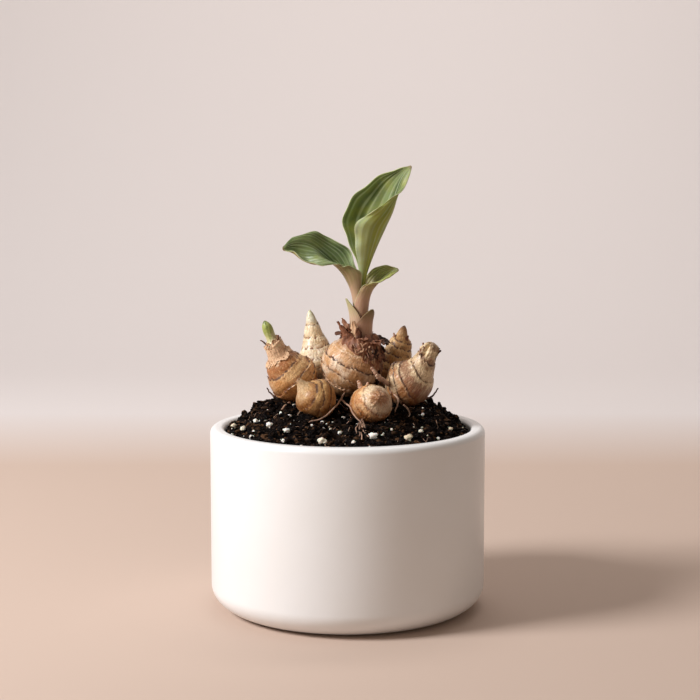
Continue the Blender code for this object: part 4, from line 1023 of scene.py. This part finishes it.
def makeHusk(material):
    top, axisWay = tuberAxis(tubers["mother"], 1)
    plans = []
    for facing, distance, length, width, lean, droop, shade in husk["scales"]:
        way = Vector((math.cos(math.radians(facing)), math.sin(math.radians(facing)), 0))
        foot = Vector((stemX, 0, top.z)) + way * distance
        foot.z -= (foot - top).dot(axisWay) / axisWay.z + 0.5 * (distance - 6) + husk["sunk"]
        point = husk["taper"] if shade < 0.1 else husk["blunt"]
        crinkle = husk["crinkle"] * (0.6 if droop < 35 else 1)
        plans.append((foot, way, Vector((0, 0, 1)), (length, width), lean, droop, shade, len(plans),
                      husk["cells"], husk["thickness"], crinkle, point))
    draw = random.Random(5)
    shred = husk["shred"]
    for low, high, count, shares, lengths, leans, droops, shades in husk["tangle"]:
        for _ in range(count):
            foot, out, up = tuberSpot("mother", draw.uniform(*shares), draw.uniform(low, high))
            size = (draw.uniform(*lengths), draw.uniform(*shred["widths"]))
            plans.append((foot - out * shred["sunk"], out, up, size, draw.uniform(*leans),
                          draw.uniform(*droops), draw.uniform(*shades), len(plans), shred["cells"],
                          shred["thickness"], shred["crinkle"], husk["blunt"]))
    bm = growMany(scaleLayers, len(plans), lambda few, i: growScale(few, *plans[i]))

    def mantle(across, along):  # the papery skin over the shoulder, torn off along its lower edge
        sheet = husk["mantle"]
        facing = sheet["facing"][0] * (1 - across) / 2 + sheet["facing"][1] * (1 + across) / 2
        torn = noise.noise(Vector((facing / 16, 3, 0))) + 0.5 * noise.noise(Vector((facing / 5, 8, 0)))
        low, high = sheet["shares"]
        low += sheet["torn"] * torn + sheet["narrowing"] * ease(abs(across), 0.75, 1)
        middle, spread, depth = sheet["hanging"]
        low -= depth * math.exp(-(((facing - middle) / spread) ** 2))
        share = low + (high - low) * along
        spot, out, _ = tuberSpot("mother", share, facing)
        fold = noise.noise(Vector((facing / 6, share * 5, 2)))
        fold += 0.6 * noise.noise(Vector((facing / 2.6, share * 8, 5)))
        return spot + out * (sheet["stand"] + sheet["fold"] * fold + sheet["flare"] * (1 - along) ** 4)

    def ruff(across, along):  # the crumpled remains that close round the shoot's foot
        cuff = husk["ruff"]
        turn = math.pi * across
        radius, height = curveThrough(cuff["profile"], along)
        spot = Vector((math.cos(turn), math.sin(turn), 0))
        fold = noise.noise(spot * 4.5 + Vector((0, 0, along * 1.5)))
        fold += 0.6 * noise.noise(spot * 9 + Vector((0, 0, 4 + along * 3)))
        radius += cuff["fold"] * fold * math.sin(math.pi * min(along, 0.8))
        height += 0.9 * cuff["fold"] * noise.noise(spot * 3.3 + Vector((5, 0, along * 2)))
        left = (1 - along) * max(-spot.x, 0)  # on the left it ends higher and closer to the shoot
        radius -= cuff["left"][0] * left
        height += cuff["left"][1] * left
        return Vector((stemX, 0, height)) + spot * radius - (1 - along) * Vector(cuff["shift"])

    for surface, sheet in ((mantle, husk["mantle"]), (ruff, husk["ruff"])):
        growBlade(bm, surface, sheet["cells"], sheet["thickness"], sheet["shade"], sheet["fibres"])
    finishPiece("husk_scales", bm, [material], sharp=70)


# Torn leaf bases: small dried teeth that fringe the leaf scars, and a few larger ones round the buds.

fringe = {
    "spacing": 2.0, "missing": 0.58, "lengths": (0.5, 1.2), "widths": (0.9, 1.7), "below": 0.25,
    "shades": (0.25, 0.55), "cells": (3, 4), "thickness": 0.12, "crinkle": 0.12,
    "budBuild": ((8, 14), 0.2, 0.5),  # cells, thickness and crinkle of the scales round the buds
    "collarCells": (150, 6), "collarThickness": 0.15,
    "budScales": (  # tuber, share, facing, length, width, lean, droop, shade
        ("left_large", 0.79, 176, 4.0, 1.8, -6, 40, 0.85),
        ("left_large", 0.78, 232, 2.6, 3.4, -8, 4, 0.05),
        ("left_large", 0.77, 282, 3.6, 3.8, -8, 0, 0.15),
        ("left_large", 0.78, 335, 3.8, 3.0, -6, 10, 0.55),
        ("left_large", 0.77, 20, 2.8, 3.4, -6, 8, 0.4),
        ("left_large", 0.77, 80, 2.8, 3.4, -6, 8, 0.3),
        ("left_large", 0.77, 130, 3.0, 3.2, -6, 10, 0.4),
        ("left_large", 0.66, 250, 5.2, 5.0, -20, -8, 0.1),
        ("left_large", 0.66, 310, 5.2, 5.0, -22, -10, 0.2),
        ("right_large", 0.83, 345, 6.4, 3.8, -6, 8, 0.9),
        ("right_large", 0.82, 300, 2.8, 3.0, -10, 6, 0.4),
        ("right_large", 0.82, 208, 5.6, 3.6, -8, 10, 0.75),
        ("right_large", 0.83, 150, 5.4, 3.6, -8, 10, 0.6),
        ("right_large", 0.82, 90, 5.4, 3.8, -8, 10, 0.7),
        ("right_large", 0.83, 30, 6.2, 3.8, -6, 10, 0.9),
        ("back_right", 0.80, 200, 2.4, 2.6, -10, 10, 0.4),
        ("back_right", 0.80, 310, 2.8, 2.4, -10, 10, 0.5),
        ("back_right", 0.62, 190, 2.6, 3.0, -6, 14, 0.6),
    ),
    "collars": (  # tuber, scar, turn from and to, width (below 0: torn below), stand-off, shade
        ("mother", 0, -80, 50, 2.4, 0.8, -0.1),
        ("left_large", 4, -180, 180, -1.5, 0.4, -0.05),
        ("left_large", 5, -180, 180, 1.4, 0.4, 0.1),
    ),
}


def makeFringes(material):
    draw = random.Random(21)
    plans = []
    for number, (name, shape) in enumerate(tubers.items()):
        length, frameSide = tuberFrame(shape)
        for ring, (share, mark) in enumerate(zip(shape["rings"], shape["marks"])):
            teeth = round(2 * math.pi * smoothRadius(shape, share) / fringe["spacing"])
            for tooth in range(teeth):
                turn = 2 * math.pi * (tooth + draw.uniform(-0.35, 0.35)) / teeth
                size = (draw.uniform(*fringe["lengths"]), draw.uniform(*fringe["widths"]))
                shade, skipped = draw.uniform(*fringe["shades"]), draw.random()
                if skipped < fringe["missing"] + 0.4 * (1 - mark):  # fainter scars have fewer teeth
                    continue
                scars = scarsAt(shape, turn, length, number)
                here = scars[ring] - fringe["below"] / length
                foot = tuberSurface(shape, here, turn, frameSide, scars, [], length)[0]
                _, up = tuberAxis(shape, here)
                out = math.cos(turn) * frameSide + math.sin(turn) * up.cross(frameSide)
                swelling = smoothRadius(shape, here + 0.02) - smoothRadius(shape, here - 0.02)
                lean = math.degrees(math.atan(swelling / (0.04 * length))) + draw.uniform(0, 8)
                plans.append((foot, out, up, size, lean, lean + draw.uniform(4, 22), shade, len(plans),
                              fringe["cells"], fringe["thickness"], fringe["crinkle"]))
    for name, share, facing, length, width, lean, droop, shade in fringe["budScales"]:
        foot, out, up = tuberSpot(name, share, facing)
        plans.append((foot - out * 0.1, out, up, (length, width), lean, droop, shade, len(plans),
                      *fringe["budBuild"]))
    bm = growMany(scaleLayers, len(plans), lambda few, i: growScale(few, *plans[i]))
    for seed, (name, ring, low, high, width, stand, shade) in enumerate(fringe["collars"]):
        shape, number = tubers[name], list(tubers).index(name)
        length, frameSide = tuberFrame(shape)

        def collar(across, along):  # a papery band, torn along its free edge, that ends at the scar
            turn = math.radians((low + high) / 2 + (high - low) / 2 * across)
            spot = Vector((math.cos(turn), math.sin(turn), seed))
            scars = scarsAt(shape, turn, length, number)
            torn = 0.75 + 0.8 * noise.noise(spot * 2.5) + 0.4 * noise.noise(spot * 7)
            share = scars[ring] + (along * max(torn, 0.25) - 0.55) * width / length
            point = tuberSurface(shape, share, turn, frameSide, scars, [], length)[0]
            out = (point - tuberAxis(shape, share)[0]).normalized()
            fold = noise.noise(spot * 3 + Vector((0, 0, along))) + 0.3 * noise.noise(spot * 7)
            return point + out * (0.1 + stand * along * (0.7 + 0.7 * fold))

        growBlade(bm, collar, fringe["collarCells"], fringe["collarThickness"], shade,
                  spread=(high - low) / 110)
    finishPiece("leaf_scar_fringes", bm, [material], sharp=70)


# Roots, stubs and hairs: each one its radius at both ends, how dark it is, and its route. The first ones
# are seen from the front, the last few stand at the sides and behind. One darkest stub is painted shade,
# put behind in the gap between the middle tuber and the right one, where only shadow shows.

roots = (
    (0.44, 0.28, 0.45, ((-1.0, -4.0, 95.0), (-3.0, -15.0, 93.5), (-5.2, -23.5, 91.5),
                        (-10.0, -30.5, 88.3), (-16.5, -33.5, 86.5))),
    (0.40, 0.26, 0.4, ((-3.0, -15.0, 93.5), (-1.0, -20.0, 92.6), (1.1, -25.0, 91.4), (3.1, -30.5, 88.6),
                       (6.0, -34.0, 86.2))),
    (0.58, 0.30, 0.45, ((7.0, -23.0, 86.8), (5.8, -31.0, 86.8), (5.4, -37.0, 84.0), (6.0, -42.5, 80.6))),
    (0.46, 0.20, 0.5, ((6.0, -31.5, 86.6), (7.6, -36.0, 84.6), (7.4, -40.5, 82.6))),
    (0.40, 0.18, 0.6, ((5.4, -32.0, 86.4), (3.6, -36.0, 84.4), (3.8, -39.5, 82.8))),
    (0.42, 0.18, 0.4, ((6.0, -33.0, 86.0), (6.8, -38.5, 83.4), (9.0, -42.0, 81.6))),
    (0.40, 0.18, 0.65, ((5.8, -32.0, 86.8), (5.0, -36.5, 84.6), (5.0, -41.0, 82.0))),
    (0.38, 0.18, 0.5, ((6.4, -31.5, 86.8), (6.6, -35.0, 85.2), (5.6, -38.5, 83.6))),
    (0.36, 0.16, 0.6, ((6.4, -32.5, 86.2), (8.2, -35.5, 84.4), (8.6, -38.5, 83.0))),
    (1.15, 0.70, 0.15, ((19.0, -8.5, 98.5), (15.2, -12.2, 101.5), (12.2, -13.6, 104.6),
                        (10.0, -13.8, 107.2))),
    (1.00, 0.45, 0.1, ((15.2, -12.0, 101.5), (13.2, -14.4, 102.6), (12.2, -15.2, 104.2))),
    (0.50, 0.30, 0.9, ((29.0, -2.0, 93.0), (35.2, -1.5, 92.2), (38.0, -1.0, 94.0), (39.6, -1.0, 96.5))),
    (1.50, 0.70, 0.0, ((7.5, -20.0, 96.5), (5.6, -19.5, 99.6), (4.6, -19.2, 102.4))),
    (1.10, 0.40, 0.0, ((6.6, -20.0, 98.0), (8.2, -20.4, 100.2), (8.8, -20.4, 101.6))),
    (0.50, 0.25, 0.3, ((19.0, -10.0, 96.0), (21.6, -14.6, 93.6), (20.7, -17.0, 90.1),
                       (20.2, -18.0, 88.4))),
    (0.50, 0.25, 0.9, ((-30.0, 4.0, 91.0), (-32.8, 4.5, 92.5), (-34.6, 5.0, 94.2), (-35.5, 5.0, 95.9))),
    # painted shade: a darkest stub that fills the gap between the middle and right tubers, where shadow
    # falls
    (1.90, 1.20, 1.0, ((9.5, 6.0, 94.0), (12.4, 6.0, 98.0), (14.0, 7.0, 101.5))),
    (0.40, 0.20, 0.4, ((-13.0, -6.0, 101.0), (-14.5, -7.5, 97.5), (-17.0, -8.5, 93.5))),
    (0.35, 0.20, 0.5, ((-12.0, -7.0, 99.0), (-11.5, -10.0, 96.0), (-13.0, -12.0, 93.0))),
    (0.45, 0.20, 0.3, ((-25.0, -6.0, 91.0), (-27.5, -11.0, 89.6), (-29.5, -14.5, 87.4),
                       (-32.5, -17.0, 85.0))),
    (0.40, 0.20, 0.4, ((24.0, -12.0, 91.0), (26.5, -18.0, 88.6), (26.0, -23.5, 86.4),
                       (28.5, -28.0, 84.2))),
    (0.40, 0.20, 0.5, ((14.0, 22.0, 91.5), (16.5, 28.0, 90.0), (15.0, 34.0, 87.0))),
    (0.45, 0.20, 0.4, ((-8.0, 21.0, 91.5), (-9.5, 28.5, 90.0), (-13.0, 34.0, 87.0))),
    (0.40, 0.20, 0.5, ((26.0, 10.0, 92.0), (31.0, 15.0, 89.5), (36.0, 17.0, 86.0))),
    (0.40, 0.20, 0.5, ((-20.0, 14.0, 92.0), (-26.0, 20.0, 90.0), (-31.0, 22.0, 87.0))),
)


rootTones = ("cba48a", "38211a")  # fresh, dried


def rootSkin():
    # Fleshy young roots and stubs: pinkish brown and dull, darker and thinner where they have dried.
    made, tree, shader = newMaterial("root skin", {"IOR": 1.42, "Roughness": 0.6,
                                                   "Subsurface Weight": 0.08,
                                                   "Subsurface Scale": 0.6 * mm})
    place = addNode(tree, "TexCoord").outputs["Object"]
    tone = addNode(tree, "Attribute", attribute_name="tone").outputs["Fac"]
    mottle = addNode(tree, "TexNoise", {"Vector": place, "Scale": 1 / (1.6 * mm), "Detail": 4})
    mottle = mottle.outputs["Fac"]
    mixed = addNode(tree, "Math", {0: mottle, 1: 1.1, 2: -0.55}, operation="MULTIPLY_ADD").outputs[0]
    mixed = addNode(tree, "Math", {0: tone, 1: mixed}, operation="ADD").outputs[0]
    base = addNode(tree, "Mix", {0: mixed, 6: srgb(rootTones[0]), 7: srgb(rootTones[1])},
                   data_type="RGBA").outputs[2]
    tree.links.new(base, shader.inputs["Base Color"])
    bump = addNode(tree, "Bump", {"Height": mottle, "Distance": 0.4 * mm, "Strength": 0.7}).outputs[0]
    tree.links.new(bump, shader.inputs["Normal"])
    return made


def growRoot(bm, thick, thin, shade, route, seed, sides=10, steps=40):
    tone = bm.verts.layers.float["tone"]
    for vert in bmesh.ops.create_uvsphere(bm, u_segments=sides, v_segments=steps, radius=1)["verts"]:
        share = 1 - math.acos(max(-1, min(1, vert.co.z))) / math.pi
        turn = math.atan2(vert.co.y, vert.co.x)
        before, centre, after = (curveThrough(route, min(max(share + shift, 0), 1))
                                 for shift in (-0.02, 0, 0.02))
        ahead = (after - before).normalized()
        side = ahead.cross(Vector((0, 0, 1))).normalized()
        wander = 0.35 * min(share * 5, 1)
        centre += wander * noise.noise_vector(Vector((share * 7, seed, 0)))
        radius = 0 if abs(share - 0.5) > 0.4999 else thick + (thin - thick) * share  # closed ends
        radius *= 1 + 0.35 * noise.noise(Vector((share * 16, turn, seed)))
        vert.co = (centre + radius * (math.cos(turn) * side + math.sin(turn) * ahead.cross(side))) * mm
        vert[tone] = shade


def makeRoots(material):
    plans = [(*root, number) for number, root in enumerate(roots)]
    bm = growMany([("float", "tone")], len(plans), lambda few, i: growRoot(few, *plans[i]))
    finishPiece("roots_and_stubs", bm, [material], sharp=80)
    draw = random.Random(3)
    plans = []
    for number in range(litter["fibres"]):
        x, y = soilSpot(draw, 4)
        turn, length = draw.uniform(0, 2 * math.pi), draw.uniform(*litter["fibreLengths"])
        route = []
        for step in range(4):
            spot = (x + math.cos(turn) * length * step / 3, y + math.sin(turn) * length * step / 3)
            spot = (min(max(spot[0], -50), 50), min(max(spot[1], -50), 50))  # kept inside the pot
            route.append((*spot, lumpySoilHeight(*spot) + draw.uniform(0.1, 0.9)))
            turn += draw.uniform(-0.5, 0.5)
        thick, shade = draw.uniform(*litter["fibreThickness"]), draw.uniform(0.0, 0.8)
        plans.append((thick, litter["fibreTip"], shade, route, 100 + number, 5, 9))
    bm = growMany([("float", "tone")], len(plans), lambda few, i: growRoot(few, *plans[i]))
    finishPiece("soil_fibres", bm, [material], sharp=80)


# The camera, and a plain pale floor that curves up behind. Here lengths are in metres, and the pitch is
# in radians. Each light has its place, aim, size, power in watts and tint.

view = {"place": (0.00105, -0.700, 0.1937), "pitch": 0.1147, "lens": 83.2, "sensor": 36.0}


def makeCamera():
    data = bpy.data.cameras.new("camera")
    data.lens = view["lens"]
    data.sensor_width = view["sensor"]
    camera = bpy.data.objects.new("camera", data)
    camera.location = view["place"]
    camera.rotation_euler = (math.pi / 2 - view["pitch"], 0, 0)
    bpy.context.scene.collection.objects.link(camera)
    bpy.context.scene.camera = camera


studio = {
    "floor": "c8b2a3", "wall": "ddd6d4", "meet": (0.33, 0.55),
    "front": -3.0, "straight": 0.8, "bend": 0.7, "bendSteps": 12, "top": 2.6, "halfWidth": 3.0,
    "world": ("f3e6da", 0.30),
    "key": ((-0.92, -0.36, 0.76), (0, 0, 0.10), 0.42, 17.5, "fdfdff"),
    "wash": ((0.2, 0.5, 1.3), (0.1, 1.5, 0.5), 1.0, 9.8, "faf6f4"),
}


def makeStudio():
    made, tree, shader = newMaterial("matt painted board", {"Roughness": 0.85})
    place = addNode(tree, "TexCoord").outputs["Object"]
    depth = addNode(tree, "SeparateXYZ", {0: place}).outputs[1]
    near, far = studio["meet"]
    behind = addNode(tree, "MapRange", {0: depth, 1: near, 2: far}).outputs[0]
    tone = addNode(tree, "Mix", {0: behind, 6: srgb(studio["floor"]), 7: srgb(studio["wall"])},
                   data_type="RGBA").outputs[2]
    tree.links.new(tone, shader.inputs["Base Color"])
    bm = bmesh.new()
    half, bend = studio["halfWidth"], studio["bend"]
    outline = [(studio["front"], 0)]
    for i in range(studio["bendSteps"] + 1):
        turn = math.pi / 2 * i / studio["bendSteps"]
        outline.append((studio["straight"] + bend * math.sin(turn), bend * (1 - math.cos(turn))))
    outline.append((outline[-1][0], studio["top"]))
    row = [bm.verts.new((-half, y, z)) for y, z in outline]
    edges = [bm.edges.new(pair) for pair in zip(row, row[1:])]
    sweep = bmesh.ops.extrude_edge_only(bm, edges=edges)["geom"]
    swept = [g for g in sweep if isinstance(g, bmesh.types.BMVert)]
    bmesh.ops.translate(bm, verts=swept, vec=(2 * half, 0, 0))
    bmesh.ops.recalc_face_normals(bm, faces=bm.faces)
    mesh = bpy.data.meshes.new("floor")
    bm.to_mesh(mesh)
    bm.free()
    mesh.shade_smooth()
    mesh.materials.append(made)
    floor = bpy.data.objects.new("floor", mesh)
    bpy.context.scene.collection.objects.link(floor)
    for name in ("key", "wash"):
        spot, aim, size, power, tint = studio[name]
        light = bpy.data.lights.new(name, "AREA")
        light.shape = "DISK"
        light.size = size
        light.energy = power
        light.color = srgb(tint)[:3]
        lamp = bpy.data.objects.new(name, light)
        lamp.location = spot
        lamp.rotation_euler = (Vector(aim) - Vector(spot)).to_track_quat("-Z", "Y").to_euler()
        bpy.context.scene.collection.objects.link(lamp)
    world = bpy.data.worlds.new("soft studio")
    world.use_nodes = True
    tint, strength = studio["world"]
    background = world.node_tree.nodes["Background"]
    background.inputs["Color"].default_value = srgb(tint)
    background.inputs["Strength"].default_value = strength
    bpy.context.scene.world = world
    bpy.context.scene.view_settings.view_transform = "Standard"
    print("studio ready")


makeCamera()
makeStudio()
makePot()
mix, dried, fleshy = pottingMix(), driedScale(), rootSkin()
makeSoil(mix)
for number, name in enumerate(tubers):
    makeTuber(number, name)
makeHusk(dried)
makeFringes(dried)
makeRoots(fleshy)
makeLitter(mix)
for name in leaves:
    makeLeaf(name)
for name in bracts:
    makeBract(name)
